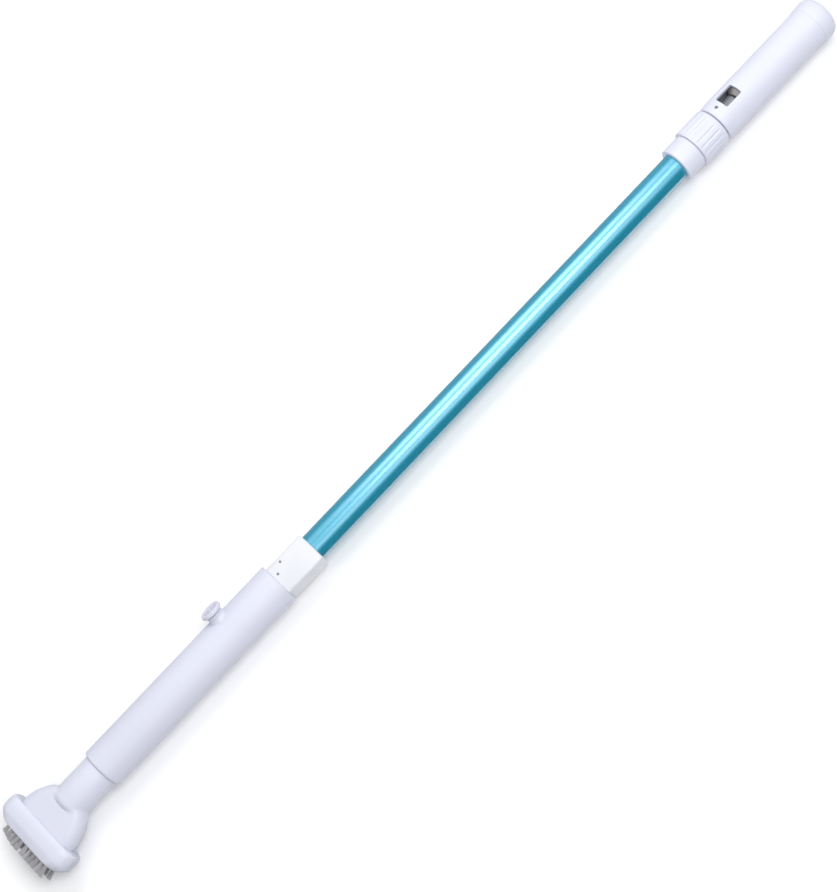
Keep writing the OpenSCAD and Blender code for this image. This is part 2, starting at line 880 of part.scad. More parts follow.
module end_cap() {
    round_steps = 8;
    edge_arc = [for (i = [0 : round_steps])
        let (a = 90 * i / round_steps)
            [total_length - cap_dome - cap_round + cap_round * sin(a),
             cap_radius - cap_round + cap_round * cos(a)]];
    face_arc = [for (i = [1 : round_steps])
        let (share = i / round_steps, r = (cap_radius - cap_round) * (1 - share))
            [total_length - cap_dome * pow(1 - share, 2), r]];
    color("white")
        difference() {
            turned(concat([[cap_x + fit, 0], [cap_x + fit, seam_radius - 0.2], [cap_x + 0.4, seam_radius],
                           [cap_x + 6, cap_radius]],
                          edge_arc, face_arc));
            rod(cap_x - cut, cap_length - 6, grip_bore - grip_wall);
        }
    color("white")
        sleeve(cap_x - cap_plug_length, cap_plug_length + 1, grip_bore - fit, grip_bore - grip_wall);
}

brush_frame();
front_tufts();
back_tufts();
nozzle_hood();
neck_seal();
canister();
filter_basket();
filter_screen();
drain_gasket();
drain_cap();
valve_block();
block_seal();
valve_seat();
flap_pin();
valve_flap();
flap_plate();
block_screws();
tube_seal();
outer_tube();
lock_collar();
guide_bush();
collet();
nut_washer();
lock_nut();
inner_tube();
piston();
piston_hub();
piston_seal();
valve_disc();
handle_grip();
handle_screws();
outlet_plug();
end_cap();
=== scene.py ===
"""Looks of the hand-pump pool wall brush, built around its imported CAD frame. Lengths are in metres."""
import math
import random

import bpy
import numpy as np
from mathutils import Matrix, Vector


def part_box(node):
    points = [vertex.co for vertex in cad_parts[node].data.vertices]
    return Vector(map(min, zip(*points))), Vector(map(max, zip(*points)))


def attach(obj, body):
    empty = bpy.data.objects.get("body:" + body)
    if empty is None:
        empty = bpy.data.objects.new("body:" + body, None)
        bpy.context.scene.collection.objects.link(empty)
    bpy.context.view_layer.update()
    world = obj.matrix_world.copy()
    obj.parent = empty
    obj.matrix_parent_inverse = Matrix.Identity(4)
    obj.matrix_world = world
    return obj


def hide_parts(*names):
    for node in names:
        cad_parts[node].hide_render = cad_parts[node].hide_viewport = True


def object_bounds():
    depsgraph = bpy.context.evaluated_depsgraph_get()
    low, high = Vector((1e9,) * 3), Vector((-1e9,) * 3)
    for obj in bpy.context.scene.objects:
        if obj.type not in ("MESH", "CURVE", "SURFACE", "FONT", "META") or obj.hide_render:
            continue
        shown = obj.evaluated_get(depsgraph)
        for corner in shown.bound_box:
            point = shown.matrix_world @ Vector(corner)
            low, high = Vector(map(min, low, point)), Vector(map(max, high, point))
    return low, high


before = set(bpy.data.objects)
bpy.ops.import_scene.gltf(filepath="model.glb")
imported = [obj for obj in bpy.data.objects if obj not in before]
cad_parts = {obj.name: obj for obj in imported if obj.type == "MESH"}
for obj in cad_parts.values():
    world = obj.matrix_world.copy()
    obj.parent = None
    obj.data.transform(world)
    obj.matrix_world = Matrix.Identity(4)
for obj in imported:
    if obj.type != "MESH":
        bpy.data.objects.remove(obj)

MM = 0.001
CAD_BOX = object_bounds()
random.seed(355)


# ---------------------------------------------------------------- places, from the frame
def span(node):
    """Lowest and highest x of a CAD node."""
    low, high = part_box(node)
    return low.x, high.x


def radius_of(node):
    """Half the width of a CAD node that is round about the wand."""
    low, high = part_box(node)
    return (high.y - low.y) / 2


TUBE_LOW, TUBE_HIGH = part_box("outer_tube")
AXIS_Z = (TUBE_LOW.z + TUBE_HIGH.z) / 2

TIPS_X = span("front_tufts")[0]
FRAME_X, FRAME_END = span("brush_frame")
MOUTH_X, SPIGOT_END = span("nozzle_hood")
CANISTER_X, BLOCK_X = span("canister")
BLOCK_END = span("valve_block")[1]
COLLAR_X = span("lock_collar")[0]
NUT_X, NUT_END = span("lock_nut")
GRIP_X, GRIP_END = span("handle_grip")
CAP_END = span("end_cap")[1]
NECK_SEAL_X, NECK_SEAL_END = span("neck_seal")
BLOCK_SEAL_X, BLOCK_SEAL_END = span("block_seal")

TUBE_RADIUS = radius_of("outer_tube")
INNER_TUBE_RADIUS = radius_of("inner_tube")
COLLAR_RADIUS = radius_of("lock_collar")
NUT_RADIUS = radius_of("lock_nut")
CAP_RADIUS = radius_of("end_cap")

# Sizes that the CAD source sets and that no node's box gives directly
FIT = 0.05 * MM
GAP = 0.3 * MM
NECK_RADIUS = 18.9 * MM
SPIGOT_RADIUS = 17 * MM
NECK_BORE = 14.5 * MM
SEAL_GROOVE = 1.8 * MM
HOOD_HALF_WIDTH = 35 * MM
HOOD_HALF_THICKNESS = 14 * MM
HOOD_WALL = 2.6 * MM
HOOD_CURVE = 2.1
NECK_BASE_X = CANISTER_X - 50.5 * MM
NECK_FULL_X = CANISTER_X - 43.5 * MM
CANISTER_LOW = 22.3 * MM
CANISTER_HIGH = 22.5 * MM
CANISTER_WALL = 2.4 * MM
LEDGE_END = CANISTER_X + 30.3 * MM
LEDGE_RADIUS = 16.1 * MM
DRAIN_BORE = 6.5 * MM
DRAIN_BOSS = 8.9 * MM
DRAIN_BOSS_TOP = 27.8 * MM
DRAIN_CAP_RADIUS = 11.6 * MM
BLOCK_HALF = 16.7 * MM
BLOCK_OFFSET = 2 * MM
BLOCK_ANGLE = math.radians(-4)
BLOCK_PLUG = 19.85 * MM
CHAMBER_RADIUS = 13.3 * MM
BLOCK_SCREWS = ((5.5 * MM, 2.7 * MM), (15.4 * MM, 9.5 * MM))
TUBE_BORE = 13.1 * MM
TUBE_SEAT_X = BLOCK_X + 18 * MM
TUBE_SEAL_X = BLOCK_END - 12 * MM
NUT_RIBS = 20
GRIP_RADIUS = 21.8 * MM
GRIP_BORE = 18.8 * MM
GRIP_HUB = 12 * MM
GRIP_NOSE = 11 * MM
GRIP_FLARE = 9 * MM
SEAM_RADIUS = CAP_RADIUS - 0.5 * MM
OUTLET_ANGLE = math.radians(12)
OUTLET_X = GRIP_X + 14.8 * MM
OUTLET_LENGTH = 21.5 * MM
OUTLET_WIDTH = 15.8 * MM
SCREW_X = GRIP_X + 8.1 * MM


# ---------------------------------------------------------------- camera, lights and floor
IMAGE_LONG_SIDE = 892
SENSOR = 36.0
FOCAL_PIXELS = 1829.7
CAMERA_DISTANCE = 1.79
CAMERA_ROUND = math.radians(18.5)   # from straight above toward -Y
CAMERA_TILT = math.radians(4.6)    # the brush end is the nearer one
CAMERA_ROLL = math.radians(46.437)   # the wand climbs to the upper right
AIM_ALONG = -26.9 * MM
AIM_ACROSS = -6.33 * MM

# Name, degrees from straight above toward +Y, x, distance, length, width and watts of each strip light
SOFTBOXES = (
    ("key", 33, 0.4, 1.7, 1.15, 0.95, 10.6),
    ("top", -9, 0.58, 2.4, 1.45, 1.1, 24.5),
    ("fill", -42, 0.2, 2.6, 2.4, 1.1, 11),
)
DARK_WALL = (0.24, 0.25, 0.27)
PALE_WALL = (0.8, 0.81, 0.83)
CEILING = (0.95, 0.96, 0.98)
STUDIO_STRENGTH = 0.66

CARD_NEAR = 0.03
CARD_FAR = 0.6
CARD_LIFT = 0.0005
CARD_HEIGHT = 0.3
CARD_OVERHANG = 0.3
FLOOR_REACH = 9.0
FLOOR_GREY = 0.955


def pose_matrix(x_axis, y_axis, z_axis, place):
    """World matrix from three axes and a place."""
    return Matrix([(x_axis[i], y_axis[i], z_axis[i], place[i]) for i in range(3)] + [(0, 0, 0, 1)])


def make_camera():
    """Looks down at the wand from its -Y side, as the photograph does."""
    back = Vector((0, -math.sin(CAMERA_ROUND), math.cos(CAMERA_ROUND)))
    across = Vector((0, math.cos(CAMERA_ROUND), math.sin(CAMERA_ROUND)))
    along = Vector((1, 0, 0))
    look_back = back * math.cos(CAMERA_TILT) - along * math.sin(CAMERA_TILT)
    look_along = along * math.cos(CAMERA_TILT) + back * math.sin(CAMERA_TILT)
    right = look_along * math.cos(CAMERA_ROLL) - across * math.sin(CAMERA_ROLL)
    up = look_along * math.sin(CAMERA_ROLL) + across * math.cos(CAMERA_ROLL)
    aim = Vector(((CAD_BOX[0].x + CAD_BOX[1].x) / 2 + AIM_ALONG, 0, AXIS_Z)) + across * AIM_ACROSS
    data = bpy.data.cameras.new("camera")
    data.sensor_width = SENSOR
    data.lens = FOCAL_PIXELS * SENSOR / IMAGE_LONG_SIDE
    camera = bpy.data.objects.new("camera", data)
    bpy.context.scene.collection.objects.link(camera)
    place = aim + look_back * CAMERA_DISTANCE
    camera.matrix_world = pose_matrix(right, up, look_back, place)
    bpy.context.scene.camera = camera


def softbox(name, angle, x, distance, length, width, power):
    """A white strip light parallel to the wand. The angle is from straight above toward +Y."""
    data = bpy.data.lights.new(name, "AREA")
    data.shape = "RECTANGLE"
    data.size = length
    data.size_y = width
    data.energy = power
    lamp = bpy.data.objects.new(name, data)
    bpy.context.scene.collection.objects.link(lamp)
    back = Vector((0, math.sin(angle), math.cos(angle)))
    along = Vector((1, 0, 0))
    side = back.cross(along)
    place = Vector((x, 0, AXIS_Z)) + back * distance
    lamp.matrix_world = pose_matrix(along, side, back, place)
    lamp.visible_camera = False


def make_light():
    """The strip lights, and a pale studio whose wall toward -Y is dark."""
    for name, degrees, *place_and_size in SOFTBOXES:
        softbox(name, math.radians(degrees), *place_and_size)
    world = bpy.data.worlds.new("studio")
    bpy.context.scene.world = world
    world.use_nodes = True
    tree = world.node_tree
    coordinates = tree.nodes.new("ShaderNodeTexCoord")
    parts = tree.nodes.new("ShaderNodeSeparateXYZ")
    tree.links.new(coordinates.outputs["Generated"], parts.inputs["Vector"])
    height = ranged(tree, parts.outputs["Z"], 0.0, 0.75, 0.0, 1.0)
    side = ranged(tree, parts.outputs["Y"], -0.9, 0.2, 0.0, 1.0)
    walls = mixed(tree, side, DARK_WALL, PALE_WALL)
    sky = mixed(tree, height, walls, CEILING)
    tree.links.new(sky, tree.nodes["Background"].inputs["Color"])
    tree.nodes["Background"].inputs["Strength"].default_value = STUDIO_STRENGTH


def studio_sheet(name, points, faces, grey, specular):
    """A matt sheet that belongs to the studio and not to the wand."""
    mesh = bpy.data.meshes.new(name)
    mesh.from_pydata(points, [], faces)
    paint = bpy.data.materials.new(name)
    paint.use_nodes = True
    set_surface(paint.node_tree.nodes["Principled BSDF"],
                {"Base Color": (grey, grey, grey, 1), "Roughness": 0.9, "Specular IOR Level": specular})
    mesh.materials.append(paint)
    sheet = bpy.data.objects.new(name, mesh)
    bpy.context.scene.collection.objects.link(sheet)
    return sheet


def reflector(name, side, grey):
    """A grey card that lies beside the wand and turns up behind, seen only in reflections. Side 1 is +Y."""
    low, high = CAD_BOX
    profile = ((CARD_NEAR, CARD_LIFT), (CARD_FAR, CARD_LIFT), (CARD_FAR, CARD_HEIGHT))
    ends = (low.x - CARD_OVERHANG, high.x + CARD_OVERHANG)
    points = [(x, side * y, z) for x in ends for y, z in profile]
    card = studio_sheet(name, points, [(0, 1, 4, 3), (1, 2, 5, 4)], grey, 0)
    card.visible_camera = False
    card.visible_diffuse = False
    card.visible_shadow = False


def make_floor():
    reach = FLOOR_REACH
    corners = [(-reach, -reach, 0), (reach, -reach, 0), (reach, reach, 0), (-reach, reach, 0)]
    floor = studio_sheet("floor", corners, [(0, 1, 2, 3)], FLOOR_GREY, 0.1)


# ---------------------------------------------------------------- materials
def set_surface(shader, surface):
    """Puts plain numbers on the shader's own sockets."""
    for socket, value in surface.items():
        shader.inputs[socket].default_value = value


def noise(tree, vector, scale, detail):
    node = tree.nodes.new("ShaderNodeTexNoise")
    node.inputs["Scale"].default_value = scale
    node.inputs["Detail"].default_value = detail
    tree.links.new(vector, node.inputs["Vector"])
    return node.outputs["Fac"]


def ranged(tree, value, low, high, to_low, to_high):
    node = tree.nodes.new("ShaderNodeMapRange")
    for name, number in (("From Min", low), ("From Max", high), ("To Min", to_low), ("To Max", to_high)):
        node.inputs[name].default_value = number
    tree.links.new(value, node.inputs["Value"])
    return node.outputs["Result"]


def mixed(tree, share, first, second):
    """Mixes two colours, each a plain colour or a socket."""
    node = tree.nodes.new("ShaderNodeMix")
    node.data_type = "RGBA"
    colour_inputs = [socket for socket in node.inputs if socket.type == "RGBA"]
    for socket, colour in zip(colour_inputs, (first, second)):
        if isinstance(colour, tuple):
            socket.default_value = (*colour, 1)
        else:
            tree.links.new(colour, socket)
    tree.links.new(share, node.inputs["Factor"])
    return next(socket for socket in node.outputs if socket.type == "RGBA")


def bumped(tree, height, distance, strength, under=None):
    node = tree.nodes.new("ShaderNodeBump")
    node.inputs["Distance"].default_value = distance
    node.inputs["Strength"].default_value = strength
    tree.links.new(height, node.inputs["Height"])
    if under is not None:
        tree.links.new(under, node.inputs["Normal"])
    return node.outputs["Normal"]


def new_material(name, stretch=(1, 1, 1)):
    """A material, its node tree, its shader and its object coordinates, which may be stretched."""
    material = bpy.data.materials.new(name)
    material.use_nodes = True
    tree = material.node_tree
    coordinates = tree.nodes.new("ShaderNodeTexCoord")
    mapping = tree.nodes.new("ShaderNodeMapping")
    mapping.inputs["Scale"].default_value = stretch
    tree.links.new(coordinates.outputs["Object"], mapping.inputs["Vector"])
    return material, tree, tree.nodes["Principled BSDF"], mapping.outputs["Vector"]


def moulded_plastic(name, colour, shade, edge_colour, roughness, **surface):
    """Injection-moulded plastic: a faint cloudiness, a fine mould grain, handling marks and paler edges."""
    material, tree, shader, place = new_material(name)
    cloud = noise(tree, place, scale=14, detail=4)
    base = mixed(tree, ranged(tree, cloud, 0.35, 0.65, 0, 1), colour, shade)
    geometry = tree.nodes.new("ShaderNodeNewGeometry")
    # Convex edges, picked out by their pointiness, are mixed toward a paler colour
    edge = ranged(tree, geometry.outputs["Pointiness"], 0.53, 0.62, 0, 0.55)
    tree.links.new(mixed(tree, edge, base, edge_colour), shader.inputs["Base Color"])
    marks = noise(tree, place, scale=95, detail=6)
    gloss = ranged(tree, marks, 0.3, 0.7, roughness - 0.05, roughness + 0.07)
    tree.links.new(gloss, shader.inputs["Roughness"])
    flow = bumped(tree, noise(tree, place, scale=30, detail=2), 0.25 * MM, 0.12)
    grain = bumped(tree, noise(tree, place, scale=2600, detail=2), 0.03 * MM, 0.35, flow)
    tree.links.new(grain, shader.inputs["Normal"])
    set_surface(shader, surface)
    return material


def drawn_metal(name, colour, shade, roughness, streak, **surface):
    """Drawn or extruded metal with die lines along the wand."""
    material, tree, shader, place = new_material(name, stretch=(0.25, 420, 420))
    lines = noise(tree, place, scale=1.0, detail=3)
    base = mixed(tree, ranged(tree, lines, 0.3, 0.7, 0, 1), colour, shade)
    tree.links.new(base, shader.inputs["Base Color"])
    coordinates = tree.nodes.new("ShaderNodeTexCoord")
    marks = noise(tree, coordinates.outputs["Object"], scale=60, detail=5)
    wavy = ranged(tree, marks, 0.3, 0.7, roughness - 0.03, roughness + 0.05)
    tree.links.new(wavy, shader.inputs["Roughness"])
    tree.links.new(bumped(tree, lines, 0.05 * MM, streak), shader.inputs["Normal"])
    set_surface(shader, surface)
    return material


def rubber(name, colour, shade):
    """Dull rubber with a paler bloom and a fine grain."""
    material, tree, shader, place = new_material(name)
    bloom = noise(tree, place, scale=160, detail=5)
    base = mixed(tree, ranged(tree, bloom, 0.4, 0.7, 0, 1), colour, shade)
    tree.links.new(base, shader.inputs["Base Color"])
    tree.links.new(ranged(tree, bloom, 0.3, 0.7, 0.55, 0.75), shader.inputs["Roughness"])
    grain = bumped(tree, noise(tree, place, scale=1800, detail=3), 0.04 * MM, 0.4)
    tree.links.new(grain, shader.inputs["Normal"])
    return material


def turned_steel(name):
    """Dark steel with fine scratches."""
    material, tree, shader, place = new_material(name, stretch=(900, 900, 900))
    scratches = noise(tree, place, scale=1.0, detail=4)
    base = mixed(tree, scratches, (0.2, 0.2, 0.22), (0.3, 0.3, 0.32))
    tree.links.new(base, shader.inputs["Base Color"])
    tree.links.new(ranged(tree, scratches, 0.3, 0.7, 0.24, 0.4), shader.inputs["Roughness"])
    tree.links.new(bumped(tree, scratches, 0.02 * MM, 0.3), shader.inputs["Normal"])
    set_surface(shader, {"Metallic": 1.0})
    return material


def woven_screen(name):
    """Woven wire gauze: crossed waves give the wires, with their height and gloss, and painted shade on their
    flanks and in the gaps between them.
    """
    material, tree, shader, place = new_material(name)
    waves = []
    for direction in ("X", "Y"):
        wave = tree.nodes.new("ShaderNodeTexWave")
        wave.bands_direction = direction
        wave.inputs["Scale"].default_value = 380
        tree.links.new(place, wave.inputs["Vector"])
        waves.append(wave.outputs["Fac"])
    top = tree.nodes.new("ShaderNodeMath")
    top.operation = "MAXIMUM"
    tree.links.new(waves[0], top.inputs[0])
    tree.links.new(waves[1], top.inputs[1])
    wire = top.outputs["Value"]
    # Painted shade: each wire darkens from its crest to its flanks, and the gaps between the wires are near
    # black
    base = mixed(tree, ranged(tree, wire, 0.3, 0.8, 0, 1), (0.03, 0.03, 0.03), (0.45, 0.45, 0.44))
    tree.links.new(base, shader.inputs["Base Color"])
    tree.links.new(ranged(tree, wire, 0, 1, 0.6, 0.3), shader.inputs["Roughness"])
    tree.links.new(bumped(tree, wire, 0.15 * MM, 0.8), shader.inputs["Normal"])
    set_surface(shader, {"Metallic": 0.8})
    return material


# Share of near black mixed into the lower row of bristles as painted shade
LOWER_ROW_PAINTED_SHADE = 0.14


def nylon(name):
    """Bristle filaments: painted shade darkens them toward their roots, and darkens the lower row a little
    more than the upper.
    """
    material, tree, shader, place = new_material(name)
    parts = tree.nodes.new("ShaderNodeSeparateXYZ")
    tree.links.new(place, parts.inputs["Vector"])
    toward_root = ranged(tree, parts.outputs["X"], TIPS_X, FRAME_X, 0, 1)
    # Painted shade: the filaments darken toward their roots by the frame, where the tufts crowd together
    root_painted_shade = mixed(tree, toward_root, (0.53, 0.52, 0.54), (0.46, 0.455, 0.47))
    spread = noise(tree, place, scale=420, detail=2)
    streaked = mixed(tree, ranged(tree, spread, 0.35, 0.65, 0, 0.5), root_painted_shade, (0.4, 0.39, 0.41))
    # Painted shade: the lower row, seen through the gaps between the upper tufts, is mixed a little toward
    # near black
    lower_painted_shade = ranged(tree, parts.outputs["Z"], AXIS_Z - 4 * MM, AXIS_Z - 6 * MM, 0, LOWER_ROW_PAINTED_SHADE)
    base = mixed(tree, lower_painted_shade, streaked, (0.12, 0.12, 0.125))
    tree.links.new(base, shader.inputs["Base Color"])
    tree.links.new(ranged(tree, spread, 0.3, 0.7, 0.35, 0.55), shader.inputs["Roughness"])
    grain = bumped(tree, noise(tree, place, scale=3000, detail=2), 0.02 * MM, 0.3)
    tree.links.new(grain, shader.inputs["Normal"])
    return material


SLOT_MATERIALS = {
    "white_plastic": moulded_plastic("white_plastic", (0.67, 0.68, 0.785), (0.655, 0.665, 0.77),
                                     (0.74, 0.75, 0.84), 0.4),
    "block_plastic": moulded_plastic("block_plastic", (0.735, 0.74, 0.79), (0.72, 0.725, 0.775),
                                     (0.8, 0.8, 0.83), 0.33),
    "blue_anodised": drawn_metal("blue_anodised", (0.006, 0.41, 0.61), (0.004, 0.37, 0.55), 0.33, 0.12,
                                 **{"Metallic": 0.4, "Coat Weight": 1.0, "Coat Roughness": 0.25,
                                    "Coat IOR": 2.2}),
    "grey_aluminium": drawn_metal("grey_aluminium", (0.3, 0.31, 0.33), (0.26, 0.27, 0.29), 0.36, 0.3,
                                  Metallic=0.15),
    "bristle_nylon": nylon("bristle_nylon"),
    "black_rubber": rubber("black_rubber", (0.02, 0.02, 0.021), (0.045, 0.045, 0.048)),
    "grey_rubber": rubber("grey_rubber", (0.18, 0.185, 0.19), (0.24, 0.245, 0.25)),
    "steel": turned_steel("steel"),
    "ivory_plastic": moulded_plastic("ivory_plastic", (0.5, 0.49, 0.47), (0.46, 0.45, 0.43),
                                     (0.7, 0.69, 0.67), 0.42),
    "screen_mesh": woven_screen("screen_mesh"),
}

CARRIED_NODES = {
    "grey_rubber": ("neck_seal", "drain_gasket", "block_seal", "tube_seal"),
    "black_rubber": ("valve_flap", "piston_seal", "valve_disc"),
    "steel": ("flap_pin", "flap_plate", "nut_washer"),
    "ivory_plastic": ("guide_bush", "collet", "piston", "piston_hub"),
    "screen_mesh": ("filter_screen",),
}


def finish_carried_nodes():
    """Gives the CAD nodes that are shown as they are their materials."""
    for slot, nodes in CARRIED_NODES.items():
        for name in nodes:
            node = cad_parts[name]
            for place in node.material_slots:
                place.material = SLOT_MATERIALS[slot]


# ---------------------------------------------------------------- mesh helpers
ROUND_STEPS = 144
NO_RADIUS = 1e-7


def new_piece(name, points, faces):
    mesh = bpy.data.meshes.new(name)
    mesh.from_pydata([tuple(p) for p in points], [], faces)
    mesh.validate()
    piece = bpy.data.objects.new(name, mesh)
    bpy.context.scene.collection.objects.link(piece)
    return piece


def finish_piece(piece, slot, body, *nodes):
    """Shades the piece, gives it its material, and puts it on its body in place of CAD nodes."""
    piece.data.shade_smooth()
    piece.data.set_sharp_from_angle(angle=math.radians(34))
    piece.data.materials.clear()
    piece.data.materials.append(SLOT_MATERIALS[slot])
    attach(piece, body)
    if nodes:
        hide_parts(*nodes)


def filleted(corners, steps=4):
    """A closed outline through (x, radius, fillet) corners, each rounded by its fillet."""
    outline = []
    for i, (x, y, fillet) in enumerate(corners):
        here = Vector((x, y))
        if fillet == 0:
            outline.append(here)
            continue
        before = Vector(corners[i - 1][:2]) - here
        after = Vector(corners[(i + 1) % len(corners)][:2]) - here
        half = before.angle(after) / 2
        reach = min(fillet / math.tan(half), 0.49 * before.length, 0.49 * after.length)
        start = here + before.normalized() * reach
        end = here + after.normalized() * reach
        for j in range(steps + 1):
            t = j / steps
            outline.append(start * (1 - t) ** 2 + here * (2 * t * (1 - t)) + end * t ** 2)
    return [(p.x, p.y) for p in outline]


def turned_rings(outline, segments, place):
    """Points and rings of point numbers of (radius, along) points turned about a line, set down by place."""
    points = []
    rings = []
    for radius, along in outline:
        if radius < NO_RADIUS:
            rings.append([len(points)] * segments)
            points.append(place(0, 0, along))
            continue
        rings.append(list(range(len(points), len(points) + segments)))
        for i in range(segments):
            turn = math.tau * i / segments
            points.append(place(radius * math.cos(turn), radius * math.sin(turn), along))
    return points, rings


def lathe(name, outline, segments=ROUND_STEPS):
    """A closed outline of (x, radius) points turned about the wand's axis."""
    points, rings = turned_rings([(radius, x) for x, radius in outline], segments,
                                 lambda away, across, x: (x, across, AXIS_Z + away))
    return new_piece(name, points, joined_rings(rings, closed=True))


def joined_rings(rings, closed):
    """Faces between neighbouring rings of point numbers. A ring may be one point repeated."""
    faces = []
    pairs = list(zip(rings, rings[1:]))
    if closed:
        pairs.append((rings[-1], rings[0]))
    for first, second in pairs:
        for i in range(len(first)):
            j = (i + 1) % len(first)
            corners = [first[i], first[j], second[j], second[i]]
            kept = [c for k, c in enumerate(corners) if c != corners[k - 1]]
            if len(kept) > 2:
                faces.append(kept)
    return faces


def closed_tube(name, rings):
    """A solid whose skin runs through the rings in turn and back to the first."""
    count = len(rings[0])
    points = [p for ring in rings for p in ring]
    numbers = [list(range(k * count, (k + 1) * count)) for k in range(len(rings))]
    return new_piece(name, points, joined_rings(numbers, closed=True))


def cut_or_join(piece, tool, operation):
    """Applies a boolean with the tool, and removes the tool."""
    modifier = piece.modifiers.new(operation, "BOOLEAN")
    modifier.operation = operation
    modifier.solver = "EXACT"
    modifier.object = tool
    apply_modifiers(piece)
    bpy.data.objects.remove(tool)


def apply_modifiers(piece):
    graph = bpy.context.evaluated_depsgraph_get()
    mesh = bpy.data.meshes.new_from_object(piece.evaluated_get(graph))
    piece.modifiers.clear()
    piece.data = mesh


def turned_toward(angle, x, points):
    """Points given as (along X, across, away from the axis), turned from +Z toward +Y by the angle."""
    placed = []
    for along, across, away in points:
        y = across * math.cos(angle) + away * math.sin(angle)
        z = -across * math.sin(angle) + away * math.cos(angle)
        placed.append((x + along, y, AXIS_Z + z))
    return placed


def radial_lathe(name, x, angle, outline, segments=64, across=0):
    """A closed outline of (radius, distance from the axis) points turned about a line away from the wand."""
    points, rings = turned_rings(outline, segments, lambda along, side, away: (along, across + side, away))
    return new_piece(name, turned_toward(angle, x, points), joined_rings(rings, closed=True))


def radial_block(name, x, angle, length, width, corner, low, high):
    """A cutter with a rounded oblong outline that points away from the wand's axis."""
    outline = filleted([(0, -width / 2, corner), (length, -width / 2, corner),
                        (length, width / 2, corner), (0, width / 2, corner)], steps=6)
    count = len(outline)
    points = [(a, b, away) for away in (low, high) for a, b in outline]
    faces = [[i, (i + 1) % count, count + (i + 1) % count, count + i] for i in range(count)]
    faces.append(list(range(count))[::-1])
    faces.append([count + i for i in range(count)])
    return new_piece(name, turned_toward(angle, x, points), faces)


# ---------------------------------------------------------------- brush head
HEAD_STEPS = 224
SIDE_CROWDING = 0.62
HEAD_REACH = 0.08
HALVINGS = 26
HOOD_FLARE_LENGTH = 37 * MM


def head_angles():
    """Directions round the head, closer together toward its two narrow sides."""
    turns = np.arange(HEAD_STEPS) * math.tau / HEAD_STEPS
    return np.arctan2(SIDE_CROWDING * np.sin(turns), np.cos(turns))


def oblong_distance(y, z, half_width, half_thickness, corner):
    """Signed distance from a rounded oblong."""
    dy = np.abs(y) - (half_width - corner)
    dz = np.abs(z) - (half_thickness - corner)
    outside = np.hypot(np.maximum(dy, 0), np.maximum(dz, 0))
    return outside + np.minimum(np.maximum(dy, dz), 0) - corner


def head_ring(x, half_width, half_thickness, corner, round_radius=0.0, blend=0.0):
    """One ring of the head: a rounded oblong, blended with a circle about the axis if that has a radius."""
    angles = head_angles()
    low = np.zeros(HEAD_STEPS)
    high = np.full(HEAD_STEPS, HEAD_REACH)
    for _ in range(HALVINGS):
        middle = (low + high) / 2
        y = middle * np.cos(angles)
        z = middle * np.sin(angles)
        distance = oblong_distance(y, z, half_width, half_thickness, corner)
        if round_radius > 0:
            circle = middle - round_radius
            near = np.maximum(blend - np.abs(distance - circle), 0) / blend
            distance = np.minimum(distance, circle) - near ** 2 * blend / 4
        high = np.where(distance > 0, middle, high)
        low = np.where(distance > 0, low, middle)
    return [(x, r * math.cos(a), AXIS_Z + r * math.sin(a)) for r, a in zip(high, angles)]


def round_ring(x, radius):
    """A circle about the axis whose points face those of the head's rings."""
    return [(x, radius * math.cos(a), AXIS_Z + radius * math.sin(a)) for a in head_angles()]


def stations(start, end, count):
    """Places from start to end with count equal steps between them."""
    return [start + (end - start) * i / count for i in range(count + 1)]


def hood_half_width(x):
    """Half width of the hood, which flares from the neck to the frame."""
    share = min(max((x - FRAME_END) / HOOD_FLARE_LENGTH, 0), 1)
    return NECK_RADIUS + (HOOD_HALF_WIDTH - NECK_RADIUS) * (1 - share ** HOOD_CURVE)


def neck_radius_at(x, full, start):
    """Radius of the neck's rounded foot, which rises from a starting radius to its full one."""
    share = min(max((x - NECK_BASE_X) / (NECK_FULL_X - NECK_BASE_X), 0), 1)
    return start + (full - start) * math.sin(math.acos(1 - share))


